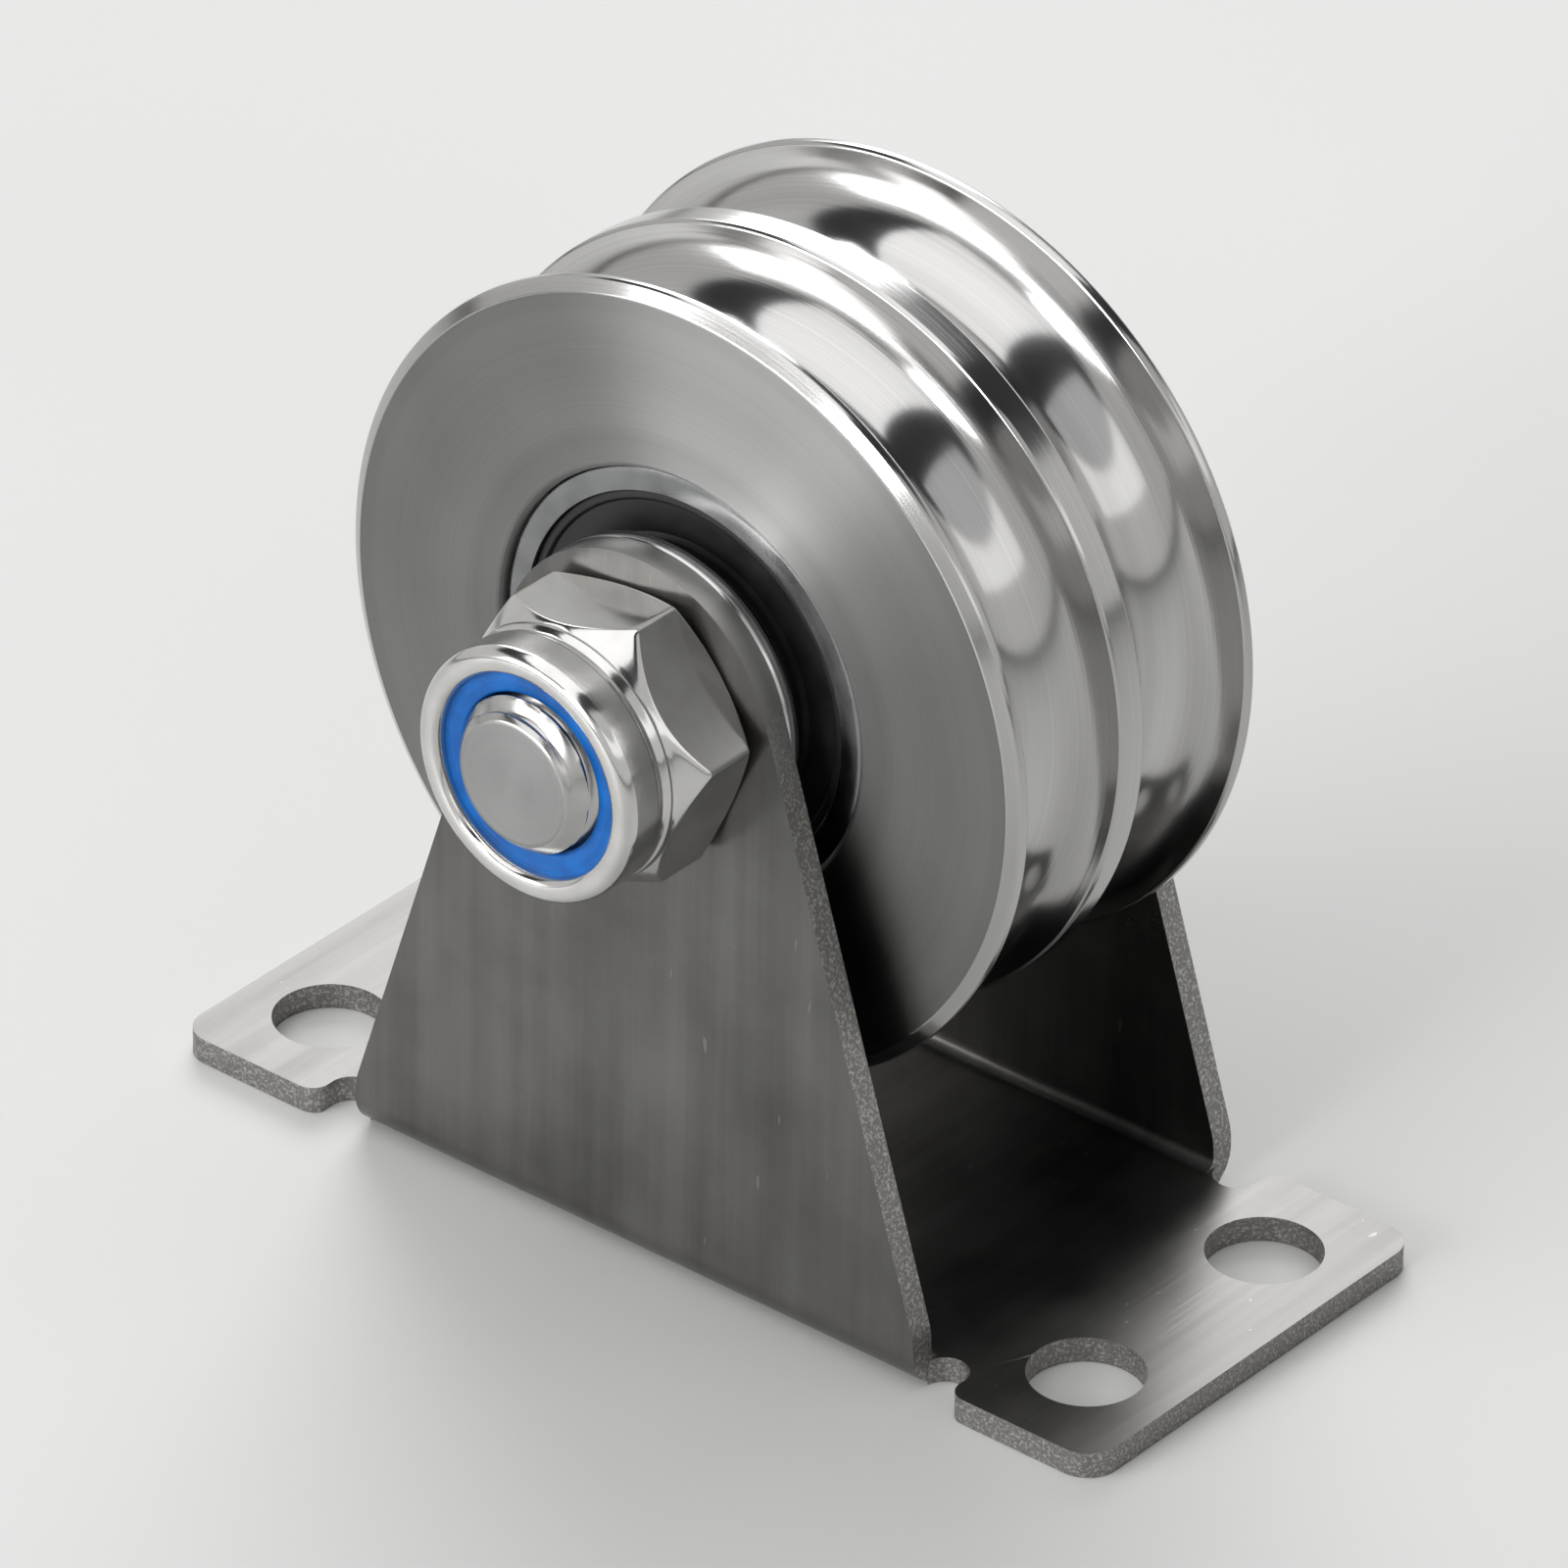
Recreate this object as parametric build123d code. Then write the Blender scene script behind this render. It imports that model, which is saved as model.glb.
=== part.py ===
"""Double groove pulley: a two-groove wheel on a bolt, in a bracket folded from one sheet.

Units are millimetres. X runs along the base plate and Z is up. The wheel's axis lies along Y, and the
lock nut is at its -Y end, which is called the near end. The origin is the middle of the base's underside.
"""

from build123d import *

import math
import os

# Base plate
SHEET = 2.0
BASE_LENGTH = 84.0
BASE_CORNER = 2.5
BASE_PAST_EAR = 0.5
HOLE_D = 8.5
HOLE_FROM_END = 7.25
HOLE_FROM_SIDE = 8.3
HOLE_EDGE_BREAK = 0.3

# Ears, and the relief notches where their bends end
HOLE_TO_EAR = 9.15
BEND_INNER_R = 1.0
EAR_STRAIGHT_FOOT = 1.2
EAR_FOOT_BLEND = 0.92
EAR_TOP_R = 12.0
AXLE_HEIGHT = 45.6
NOTCH_WIDTH = 3.4
NOTCH_PAST_BEND = 0.2
NOTCH_MOUTH_R = 1.4

# Wheel
WHEEL_D = 60.0
GROOVE_R = 5.3
GROOVE_DEPTH = 5.5
GROOVE_LIP_R = 0.35
RIM_LAND = 1.425
MIDDLE_LAND = 2.55
MIDDLE_LAND_DROP = 0.5
RIM_CHAMFER_RADIAL = 1.0
RIM_CHAMFER_AXIAL = 0.65
SEAT_CHAMFER = 0.35
SEAT_SHOULDER = 2.25

# Ball bearings, two alike
BEARING_BORE = 12.0
BEARING_D = 32.0
BEARING_WIDTH = 10.0
BEARING_RECESS = 0.5
BEARING_FIT = 0.01
BALL_TO_FACE = 2.05
BALL_COUNT = 7
RACE_GAP = 0.03
RACE_OVER_BALL = 0.1
RACE_DEPTH_SIDE = 1.9
RING_CHAMFER = 0.45
CAGE_THICKNESS = 1.6
CAGE_TO_FACE = 1.5
POCKET_GAP = 0.05
SEAL_SEAT_WALL = 1.9
SEAL_SEAT_DEPTH = 1.1
SEAL_FIT = 0.01
SEAL_THICKNESS = 0.85
SEAL_DISH = 0.2
SEAL_BEAD = 0.7
SEAL_LIP_GAP = 0.3

# Spacers, and the sleeve between the bearings
SPACER_FLANGE_D = 24.0
SPACER_FLANGE = 1.4
SPACER_BOSS = 1.6
SPACER_BOSS_INSET = 0.6
SPACER_EDGE_R = 0.45

# Axle bolt
BOLT_IN_BORE = 0.05
BOLT_IN_EAR = 0.2
BOLT_END_RADIAL = 1.25
BOLT_END_AXIAL = 1.3
BOLT_STAND_OUT = 0.9
HEAD_ACROSS_FLATS = 18.0
HEAD_HEIGHT = 7.5
HEAD_FACE_INSET = 0.4
HEAD_TURN = 10.0
HEX_CHAMFER_DEG = 30.0

# Lock nut
NUT_ACROSS_FLATS = 19.4
NUT_HEX_HEIGHT = 7.4
NUT_COLLAR_HEIGHT = 4.7
NUT_TURN = 22.5
NUT_FACE_INSET = 0.3
NUT_TAPER_DEG = 52.0
NUT_COLLAR_INSET = 0.1
NUT_NECK_R = 1.0
NUT_NECK_DEPTH = 0.25
NUT_NECK_FROM_HEX = 0.9
NUT_COLLAR_WALL = 1.25
NUT_RIM_R = 1.0
NUT_LIP = 0.95
NUT_LIP_REACH = 0.7
NUT_MOUTH_R = 0.75
INSERT_HEIGHT = 3.0
INSERT_FIT = 0.03

# Places along the axle, worked out from the sizes above
GROOVE_PITCH = 2 * GROOVE_R + MIDDLE_LAND
WHEEL_WIDTH = GROOVE_PITCH + 2 * GROOVE_R + 2 * RIM_LAND
BEARING_FACE_Y = WHEEL_WIDTH / 2 - BEARING_RECESS
BEARING_MID_Y = BEARING_FACE_Y - BEARING_WIDTH / 2
BEARING_INNER_Y = BEARING_FACE_Y - BEARING_WIDTH
BOSS_END_Y = BEARING_FACE_Y + SPACER_BOSS
EAR_INNER_Y = BOSS_END_Y + SPACER_FLANGE
EAR_OUTER_Y = EAR_INNER_Y + SHEET
NUT_HEIGHT = NUT_HEX_HEIGHT + NUT_COLLAR_HEIGHT

# Sizes that follow from others
BEND_OUTER_R = BEND_INNER_R + SHEET
BEND_START_Y = EAR_OUTER_Y - BEND_OUTER_R
BASE_WIDTH = 2 * (EAR_OUTER_Y + BASE_PAST_EAR)
HOLE_SPACING_X = BASE_LENGTH - 2 * HOLE_FROM_END
HOLE_SPACING_Y = BASE_WIDTH - 2 * HOLE_FROM_SIDE
EAR_FOOT_WIDTH = HOLE_SPACING_X - 2 * HOLE_TO_EAR
BALL_D = BEARING_WIDTH - 2 * BALL_TO_FACE
BALL_CIRCLE_R = (BEARING_BORE + BEARING_D) / 4
RACE_R = BALL_D / 2 + RACE_OVER_BALL
INNER_SHOULDER_R = BALL_CIRCLE_R - RACE_DEPTH_SIDE
OUTER_SHOULDER_R = BALL_CIRCLE_R + RACE_DEPTH_SIDE
SEAL_SEAT_R = BEARING_D / 2 - SEAL_SEAT_WALL
BOSS_R = INNER_SHOULDER_R - SPACER_BOSS_INSET
BOLT_D = BEARING_BORE - 2 * BOLT_IN_BORE
COLLAR_R = NUT_ACROSS_FLATS / 2 - NUT_COLLAR_INSET
INSERT_R = COLLAR_R - NUT_COLLAR_WALL
MOUTH_R = INSERT_R - NUT_LIP_REACH

AXLE = Pos(0, 0, AXLE_HEIGHT)
SIDES = {"near": -1, "far": 1}

os.makedirs("parts", exist_ok=True)


def save(shape, name):
    """Write one piece to the file of its name."""
    export_step(shape, f"parts/{name}.step")


def same(one, other):
    """Whether two places are the same, to a tenth of a micron."""
    return math.isclose(one, other, abs_tol=1e-4)


def band(inner_r, outer_r, start, end):
    """Rectangle from one radius to another and from one place along the axis to another."""
    width = outer_r - inner_r
    length = end - start
    return Pos(inner_r + width / 2, start + length / 2) * Rectangle(width, length)


def turned(profile):
    """Solid turned about the axle from a profile with its radius along X and its axis along Y."""
    return AXLE * revolve(profile, Axis.Y, 360)


def corners(sketch, radius, along=None):
    """Corners of a profile at a radius, and at a place along its axis where that is given."""
    return sketch.vertices().filter_by(
        lambda v: same(v.X, radius) and (along is None or same(abs(v.Y), along))
    )


def across(face, start, end):
    """Solid from a face drawn in X and Z, run along Y from one place to another."""
    return Pos(0, end, 0) * extrude(Plane.XZ * face, end - start)


def notches():
    """The four relief notches: round at the inner end and open at the edge of the base."""
    middle_x = (EAR_FOOT_WIDTH + NOTCH_WIDTH) / 2
    bottom_y = BEND_START_Y - NOTCH_PAST_BEND
    centre_y = bottom_y + NOTCH_WIDTH / 2
    slot = Pos(0, (centre_y + BASE_WIDTH) / 2) * Rectangle(NOTCH_WIDTH, BASE_WIDTH - centre_y)
    notch = slot + Pos(0, centre_y) * Circle(NOTCH_WIDTH / 2)
    pair = Pos(-middle_x, 0) * notch + Pos(middle_x, 0) * notch
    return pair + mirror(pair, Plane.XZ)


def base_outline():
    """Flat outline of the base: two flanges, four notches, and a middle that ends where the bends start."""
    edge_y = (BEND_START_Y + BASE_WIDTH) / 2
    beyond_bend = Rectangle(EAR_FOOT_WIDTH, BASE_WIDTH - BEND_START_Y)
    outline = RectangleRounded(BASE_LENGTH, BASE_WIDTH, BASE_CORNER) - notches()
    outline -= Pos(0, edge_y) * beyond_bend + Pos(0, -edge_y) * beyond_bend
    flange_x = EAR_FOOT_WIDTH / 2 + NOTCH_WIDTH
    mouths = outline.vertices().filter_by(
        lambda v: same(abs(v.X), flange_x) and same(abs(v.Y), BASE_WIDTH / 2)
    )
    return fillet(mouths, NOTCH_MOUTH_R)


def base_plate():
    """Base plate with its four holes, whose upper edges are broken."""
    outline = base_outline()
    for place in GridLocations(HOLE_SPACING_X, HOLE_SPACING_Y, 2, 2):
        outline -= place * Circle(HOLE_D / 2)
    plate = extrude(outline, SHEET)
    rims = plate.edges().filter_by(GeomType.CIRCLE).group_by(Axis.Z)[-1]
    return fillet(rims.filter_by(lambda e: same(e.radius, HOLE_D / 2)), HOLE_EDGE_BREAK)


def ear_lean():
    """Angle between the vertical and the side of an ear, which runs from the foot to touch the round top."""
    half_foot = EAR_FOOT_WIDTH / 2
    rise = AXLE_HEIGHT - BEND_OUTER_R - EAR_STRAIGHT_FOOT
    return math.atan2(half_foot, rise) - math.asin(EAR_TOP_R / math.hypot(half_foot, rise))


def ear_outline():
    """Front outline of an ear in X and Z, with a blend that takes a set length of its straight foot."""
    foot_z = BEND_OUTER_R + EAR_STRAIGHT_FOOT / 2
    foot = Pos(0, foot_z) * Rectangle(EAR_FOOT_WIDTH, EAR_STRAIGHT_FOOT)
    top = Pos(0, AXLE_HEIGHT) * Circle(EAR_TOP_R)
    outline = make_hull(foot.edges() + top.edges())
    shoulder_z = BEND_OUTER_R + EAR_STRAIGHT_FOOT
    shoulders = outline.vertices().filter_by(lambda v: same(v.Y, shoulder_z))
    return fillet(shoulders, EAR_FOOT_BLEND / math.tan(ear_lean() / 2))


def ear():
    """The +Y ear with its bend, from the end of the flat base to the round top."""
    quarter = Circle(BEND_OUTER_R) - Circle(BEND_INNER_R)
    quarter &= Pos(BEND_OUTER_R / 2, -BEND_OUTER_R / 2) * Rectangle(BEND_OUTER_R, BEND_OUTER_R)
    bend_section = Plane.YZ * Pos(BEND_START_Y, BEND_OUTER_R) * quarter
    bend = extrude(bend_section, EAR_FOOT_WIDTH / 2, both=True)
    hole = Pos(0, AXLE_HEIGHT) * Circle(BOLT_D / 2 + BOLT_IN_EAR)
    return bend + across(ear_outline() - hole, EAR_INNER_Y, EAR_OUTER_Y)


def bracket():
    """Base and both ears, folded from one sheet."""
    far_ear = ear()
    return base_plate() + far_ear + mirror(far_ear, Plane.XZ)


def wheel():
    """Wheel turned from one piece, with two round grooves and a bearing seat at each side."""
    rim_r = WHEEL_D / 2
    land_r = rim_r - MIDDLE_LAND_DROP
    half = WHEEL_WIDTH / 2
    seat_r = BEARING_D / 2 + BEARING_FIT
    profile = band(BEARING_D / 2 - SEAT_SHOULDER, rim_r, -half, half)
    profile = chamfer(
        corners(profile, rim_r, half),
        RIM_CHAMFER_AXIAL,
        RIM_CHAMFER_RADIAL,
        reference=profile.edges().sort_by(Axis.X)[-1],
    )
    profile -= band(land_r, rim_r, -GROOVE_PITCH / 2, GROOVE_PITCH / 2)
    for side in SIDES.values():
        profile -= Pos(rim_r - GROOVE_DEPTH + GROOVE_R, side * GROOVE_PITCH / 2) * Circle(GROOVE_R)
    grooves_end = GROOVE_PITCH / 2 + GROOVE_R + GROOVE_LIP_R
    lips = (corners(profile, rim_r) + corners(profile, land_r)).filter_by(lambda v: abs(v.Y) < grooves_end)
    profile = fillet(lips, GROOVE_LIP_R)
    for side in SIDES.values():
        mouth = side * half
        shoulder = side * BEARING_INNER_Y
        profile -= band(0, seat_r, min(mouth, shoulder), max(mouth, shoulder))
    return turned(chamfer(corners(profile, seat_r, half), SEAT_CHAMFER))


def inner_ring(middle_y):
    """Inner ring of a bearing, with a race round its outside."""
    half = BEARING_WIDTH / 2
    profile = band(BEARING_BORE / 2, INNER_SHOULDER_R, -half, half)
    profile = chamfer(corners(profile, BEARING_BORE / 2), RING_CHAMFER)
    race_x = BALL_CIRCLE_R - BALL_D / 2 - RACE_GAP + RACE_R
    return turned(Pos(0, middle_y) * (profile - Pos(race_x, 0) * Circle(RACE_R)))


def outer_ring(middle_y):
    """Outer ring of a bearing, with a race round its inside and a seat for a seal at each face."""
    half = BEARING_WIDTH / 2
    profile = band(OUTER_SHOULDER_R, BEARING_D / 2, -half, half)
    profile = chamfer(corners(profile, BEARING_D / 2), RING_CHAMFER)
    race_x = BALL_CIRCLE_R + BALL_D / 2 + RACE_GAP - RACE_R
    profile -= Pos(race_x, 0) * Circle(RACE_R)
    for start in (-half, half - SEAL_SEAT_DEPTH):
        profile -= band(0, SEAL_SEAT_R, start, start + SEAL_SEAT_DEPTH)
    return turned(Pos(0, middle_y) * profile)


def seal(middle_y, outward):
    """Rubber seal: a bead in the ring's seat, a dished web, and a lip that clears the inner ring."""
    floor = BEARING_WIDTH / 2 - SEAL_SEAT_DEPTH
    lip_r = INNER_SHOULDER_R + SEAL_LIP_GAP
    bead_r = SEAL_SEAT_R - SEAL_FIT
    profile = band(lip_r, bead_r, floor, floor + SEAL_THICKNESS)
    dish_start = floor + SEAL_THICKNESS - SEAL_DISH
    profile -= band(lip_r + SEAL_BEAD, bead_r - SEAL_BEAD, dish_start, floor + SEAL_THICKNESS)
    if outward < 0:
        profile = mirror(profile, Plane.XZ)
    return turned(Pos(0, middle_y) * profile)


def around_balls(shape):
    """Copies of a shape drawn at the top of the ball circle, one at each ball."""
    return [Rot(0, 360 * n / BALL_COUNT, 0) * Pos(0, 0, BALL_CIRCLE_R) * shape for n in range(BALL_COUNT)]


def cage(middle_y):
    """Ball cage: a ring with a round pocket for each ball."""
    half = BEARING_WIDTH / 2 - CAGE_TO_FACE
    inner_r = BALL_CIRCLE_R - CAGE_THICKNESS / 2
    ring = revolve(band(inner_r, inner_r + CAGE_THICKNESS, -half, half), Axis.Y, 360)
    pocket = Cylinder(BALL_D / 2 + POCKET_GAP, 2 * CAGE_THICKNESS)
    for cut in around_balls(pocket):
        ring -= cut
    return AXLE * Pos(0, middle_y, 0) * ring


def balls(middle_y):
    """The balls of one bearing, as separate solids."""
    return AXLE * Pos(0, middle_y, 0) * Compound(around_balls(Sphere(BALL_D / 2)))


def spacer(side):
    """Turned spacer: a boss on the inner ring and a wide flange against the ear."""
    bore_r = BEARING_BORE / 2
    profile = band(bore_r, BOSS_R, BEARING_FACE_Y, BOSS_END_Y)
    flange = band(bore_r, SPACER_FLANGE_D / 2, BOSS_END_Y, EAR_INNER_Y)
    profile += fillet(corners(flange, SPACER_FLANGE_D / 2), SPACER_EDGE_R)
    if side < 0:
        profile = mirror(profile, Plane.XZ)
    return turned(profile)


def centre_sleeve():
    """Tube that keeps the two inner rings apart."""
    return turned(band(BEARING_BORE / 2, BOSS_R, -BEARING_INNER_Y, BEARING_INNER_Y))


def hexagon(across_flats, start, end, turn):
    """Hexagonal bar on the axle, turned from a corner on top towards +X."""
    flat = RegularPolygon(across_flats / 2, 6, major_radius=False)
    return across(Pos(0, AXLE_HEIGHT) * Rot(0, 0, 90 - turn) * flat, start, end)


def hexagon_trim(across_flats, face_r, start, end, start_deg, end_deg):
    """Profile that keeps a hexagon's flats and cones its corners; an end at 0 degrees keeps them square."""
    corner_r = across_flats / math.sqrt(3)
    reach = (corner_r - face_r) * (1 if end > start else -1)
    points = [(0, start), (face_r, start), (corner_r, start + reach * math.tan(math.radians(start_deg)))]
    points.append((corner_r, end - reach * math.tan(math.radians(end_deg))))
    if end_deg:
        points.append((face_r, end))
    return Polygon(*points, (0, end), align=None)


def axle_bolt():
    """Hexagon bolt through both ears, with a plain shank and a chamfered end."""
    shank_r = BOLT_D / 2
    end_y = -EAR_OUTER_Y - NUT_HEIGHT - BOLT_STAND_OUT
    head_end = EAR_OUTER_Y + HEAD_HEIGHT
    shank = Polygon(
        (0, end_y),
        (shank_r - BOLT_END_RADIAL, end_y),
        (shank_r, end_y + BOLT_END_AXIAL),
        (shank_r, EAR_OUTER_Y),
        (0, EAR_OUTER_Y),
        align=None,
    )
    face_r = HEAD_ACROSS_FLATS / 2 - HEAD_FACE_INSET
    trim = hexagon_trim(HEAD_ACROSS_FLATS, face_r, head_end, EAR_OUTER_Y, HEX_CHAMFER_DEG, 0)
    head = hexagon(HEAD_ACROSS_FLATS, EAR_OUTER_Y, head_end, HEAD_TURN) & turned(trim)
    return turned(shank) + head


def lock_nut():
    """Lock nut: a hexagon tapered to a necked collar, whose rim is rolled in over the insert."""
    seat_y = -EAR_OUTER_Y
    face_r = NUT_ACROSS_FLATS / 2 - NUT_FACE_INSET
    hex_end = seat_y - NUT_HEX_HEIGHT
    rim_y = seat_y - NUT_HEIGHT
    insert_top = rim_y + NUT_LIP
    collar = band(0, COLLAR_R, rim_y, (hex_end + seat_y) / 2) - band(0, MOUTH_R, rim_y, insert_top)
    collar = fillet(corners(collar, COLLAR_R, -rim_y), NUT_RIM_R)
    collar = fillet(corners(collar, MOUTH_R, -rim_y), NUT_MOUTH_R)
    collar -= Pos(COLLAR_R + NUT_NECK_R - NUT_NECK_DEPTH, hex_end - NUT_NECK_FROM_HEX) * Circle(NUT_NECK_R)
    trim = hexagon_trim(NUT_ACROSS_FLATS, face_r, hex_end, seat_y, NUT_TAPER_DEG, HEX_CHAMFER_DEG)
    body = turned(collar) + (hexagon(NUT_ACROSS_FLATS, hex_end, seat_y, NUT_TURN) & turned(trim))
    pocket = band(0, INSERT_R + INSERT_FIT, insert_top, insert_top + INSERT_HEIGHT)
    return body - turned(band(0, BEARING_BORE / 2, insert_top, seat_y) + pocket)


def nut_insert():
    """Nylon ring held in the nut's collar."""
    outer_end = -EAR_OUTER_Y - NUT_HEIGHT + NUT_LIP
    return turned(band(BEARING_BORE / 2, INSERT_R, outer_end, outer_end + INSERT_HEIGHT))


def main():
    """Build every piece and write it to its file."""
    save(axle_bolt(), "axle_bolt")
    save(lock_nut(), "lock_nut")
    save(nut_insert(), "nut_insert")
    save(bracket(), "bracket")
    save(wheel(), "wheel")
    save(centre_sleeve(), "centre_sleeve")
    for name, side in SIDES.items():
        middle_y = side * BEARING_MID_Y
        save(inner_ring(middle_y), f"{name}_inner_ring")
        save(outer_ring(middle_y), f"{name}_outer_ring")
        save(seal(middle_y, side), f"{name}_outer_seal")
        save(seal(middle_y, -side), f"{name}_inner_seal")
        save(cage(middle_y), f"{name}_cage")
        save(balls(middle_y), f"{name}_balls")
        save(spacer(side), f"{name}_spacer")


main()
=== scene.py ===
"""Dresses the double groove pulley: a turned wheel on a bolt, in a bracket folded from brushed sheet.

Sizes are written in millimetres and turned into metres where a piece is made. The wheel's axis lies along Y
and the lock nut is at its -Y end, which is called the near end.
"""

import logging
import math
from dataclasses import dataclass, field
from enum import Enum
from typing import Callable

import bpy
from mathutils import Matrix, Vector


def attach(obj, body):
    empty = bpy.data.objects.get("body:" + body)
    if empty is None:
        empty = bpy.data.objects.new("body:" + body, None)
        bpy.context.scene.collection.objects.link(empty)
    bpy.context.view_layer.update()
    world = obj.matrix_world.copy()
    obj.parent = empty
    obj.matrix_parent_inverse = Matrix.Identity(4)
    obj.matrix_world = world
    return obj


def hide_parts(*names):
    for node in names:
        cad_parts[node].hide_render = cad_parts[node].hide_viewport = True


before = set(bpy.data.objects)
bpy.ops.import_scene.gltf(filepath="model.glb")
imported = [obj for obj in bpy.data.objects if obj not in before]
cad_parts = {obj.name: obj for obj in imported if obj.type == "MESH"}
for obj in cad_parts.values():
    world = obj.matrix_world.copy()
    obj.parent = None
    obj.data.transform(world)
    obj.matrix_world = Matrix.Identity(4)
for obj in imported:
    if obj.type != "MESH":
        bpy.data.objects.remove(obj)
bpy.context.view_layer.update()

LOG = logging.getLogger("double_groove_pulley")

Point = tuple[float, float]
Spot = tuple[float, float, float]

AXLE_HEIGHT = 45.6
EAR_INNER_Y = 15.8
EAR_OUTER_Y = 17.8
SHEET = 2.0
THROUGH_SHEET = 3 * SHEET
BEARING_FACE_Y = 12.8
BORE_R = 6.0


class End(Enum):
    """The two ends of the axle, with the sign of their Y."""

    NEAR = -1
    FAR = 1

    @property
    def label(self) -> str:
        """Name of the end as the nodes write it."""
        return self.name.lower()


def m(length: float) -> float:
    """A length in millimetres, in metres."""
    return length / 1000


def metres(place: Spot) -> Spot:
    """A place or a size in millimetres, in metres."""
    x, y, z = place
    return m(x), m(y), m(z)


def pattern(size: float) -> float:
    """Scale of a noise whose features have a size in millimetres."""
    return 1000 / size


def linear(colour: str) -> tuple[float, float, float, float]:
    """Turn an sRGB hex colour to linear RGBA.

    Args:
        colour: Six hex digits after a hash sign.

    Returns:
        Red, green, blue and an alpha of 1.
    """
    parts = [int(colour[i:i + 2], 16) / 255 for i in (1, 3, 5)]
    red, green, blue = (c / 12.92 if c <= 0.04045 else ((c + 0.055) / 1.055) ** 2.4 for c in parts)
    return red, green, blue, 1.0


def add_node(
    tree: bpy.types.NodeTree,
    kind: str,
    settings: dict | None = None,
    values: dict | None = None,
    links: dict | None = None,
) -> bpy.types.Node:
    """Add a node, set it up and link its inputs.

    Args:
        tree: The node tree that takes the node.
        kind: Blender's name of the node's type.
        settings: Properties of the node.
        values: Unlinked inputs, by name or number.
        links: Output sockets that feed inputs, by the input's name or number.

    Returns:
        The new node.
    """
    node = tree.nodes.new(kind)
    for name, value in (settings or {}).items():
        setattr(node, name, value)
    for name, value in (values or {}).items():
        node.inputs[name].default_value = value
    for name, source in (links or {}).items():
        tree.links.new(source, node.inputs[name])
    return node


def about_axle(tree: bpy.types.NodeTree) -> bpy.types.NodeSocket:
    """Object coordinates in metres, with their middle moved to the axle.

    Args:
        tree: The node tree.

    Returns:
        The moved coordinates.
    """
    place = add_node(tree, "ShaderNodeTexCoord").outputs["Object"]
    return add_node(
        tree, "ShaderNodeMapping", values={"Location": (0, 0, -m(AXLE_HEIGHT))}, links={"Vector": place}
    ).outputs["Vector"]


def radius_and_y(tree: bpy.types.NodeTree) -> tuple[bpy.types.NodeSocket, bpy.types.NodeSocket]:
    """Distance from the axle and place along it, in metres.

    Args:
        tree: The node tree.

    Returns:
        The radius and the Y coordinate.
    """
    place = about_axle(tree)
    flat = add_node(
        tree, "ShaderNodeVectorMath", {"operation": "MULTIPLY"}, {1: (1, 0, 1)}, {0: place}
    ).outputs["Vector"]
    radius = add_node(tree, "ShaderNodeVectorMath", {"operation": "LENGTH"}, links={0: flat}).outputs["Value"]
    along = add_node(tree, "ShaderNodeSeparateXYZ", links={"Vector": place}).outputs["Y"]
    return radius, along


def across_the_marks(tree: bpy.types.NodeTree) -> bpy.types.NodeSocket:
    """Direction in which turning marks spread the light: in the surface, square to the marks round the axle.

    Args:
        tree: The node tree.

    Returns:
        The tangent for a shader, in world space.
    """
    marks = add_node(
        tree, "ShaderNodeVectorMath", {"operation": "CROSS_PRODUCT"}, {1: (0, 1, 0)}, {0: about_axle(tree)}
    ).outputs["Vector"]
    marks = add_node(
        tree,
        "ShaderNodeVectorTransform",
        {"vector_type": "VECTOR", "convert_from": "OBJECT", "convert_to": "WORLD"},
        links={"Vector": marks},
    ).outputs["Vector"]
    normal = add_node(tree, "ShaderNodeNewGeometry").outputs["Normal"]
    square = add_node(
        tree, "ShaderNodeVectorMath", {"operation": "CROSS_PRODUCT"}, links={0: marks, 1: normal}
    ).outputs["Vector"]
    return add_node(
        tree, "ShaderNodeVectorMath", {"operation": "NORMALIZE"}, links={0: square}
    ).outputs["Vector"]


def new_material(name: str) -> tuple[bpy.types.Material, bpy.types.NodeTree, bpy.types.Node]:
    """Start a material with one Principled shader.

    Args:
        name: The material's name.

    Returns:
        The material, its node tree and its shader.
    """
    material = bpy.data.materials.new(name)
    material.use_nodes = True
    tree = material.node_tree
    tree.nodes.clear()
    shader = add_node(tree, "ShaderNodeBsdfPrincipled")
    add_node(tree, "ShaderNodeOutputMaterial", links={"Surface": shader.outputs["BSDF"]})
    return material, tree, shader


@dataclass(frozen=True)
class Surface:
    """What every finish has: a name, and a light and a dark colour that it varies between."""

    name: str
    light: str
    dark: str

    def tint(
        self,
        tree: bpy.types.NodeTree,
        shader: bpy.types.Node,
        tone: bpy.types.NodeSocket,
        within: bool = True,
    ) -> None:
        """Colour a shader by a tone.

        Args:
            tree: The node tree.
            shader: The shader.
            tone: The tone, which is 0 for the dark colour and 1 for the light one.
            within: Whether the tone stops at the two colours.
        """
        colour = add_node(
            tree,
            "ShaderNodeMix",
            {"data_type": "RGBA", "clamp_factor": within},
            {6: linear(self.dark), 7: linear(self.light)},
            {0: tone},
        ).outputs[2]
        tree.links.new(colour, shader.inputs["Base Color"])


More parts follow.
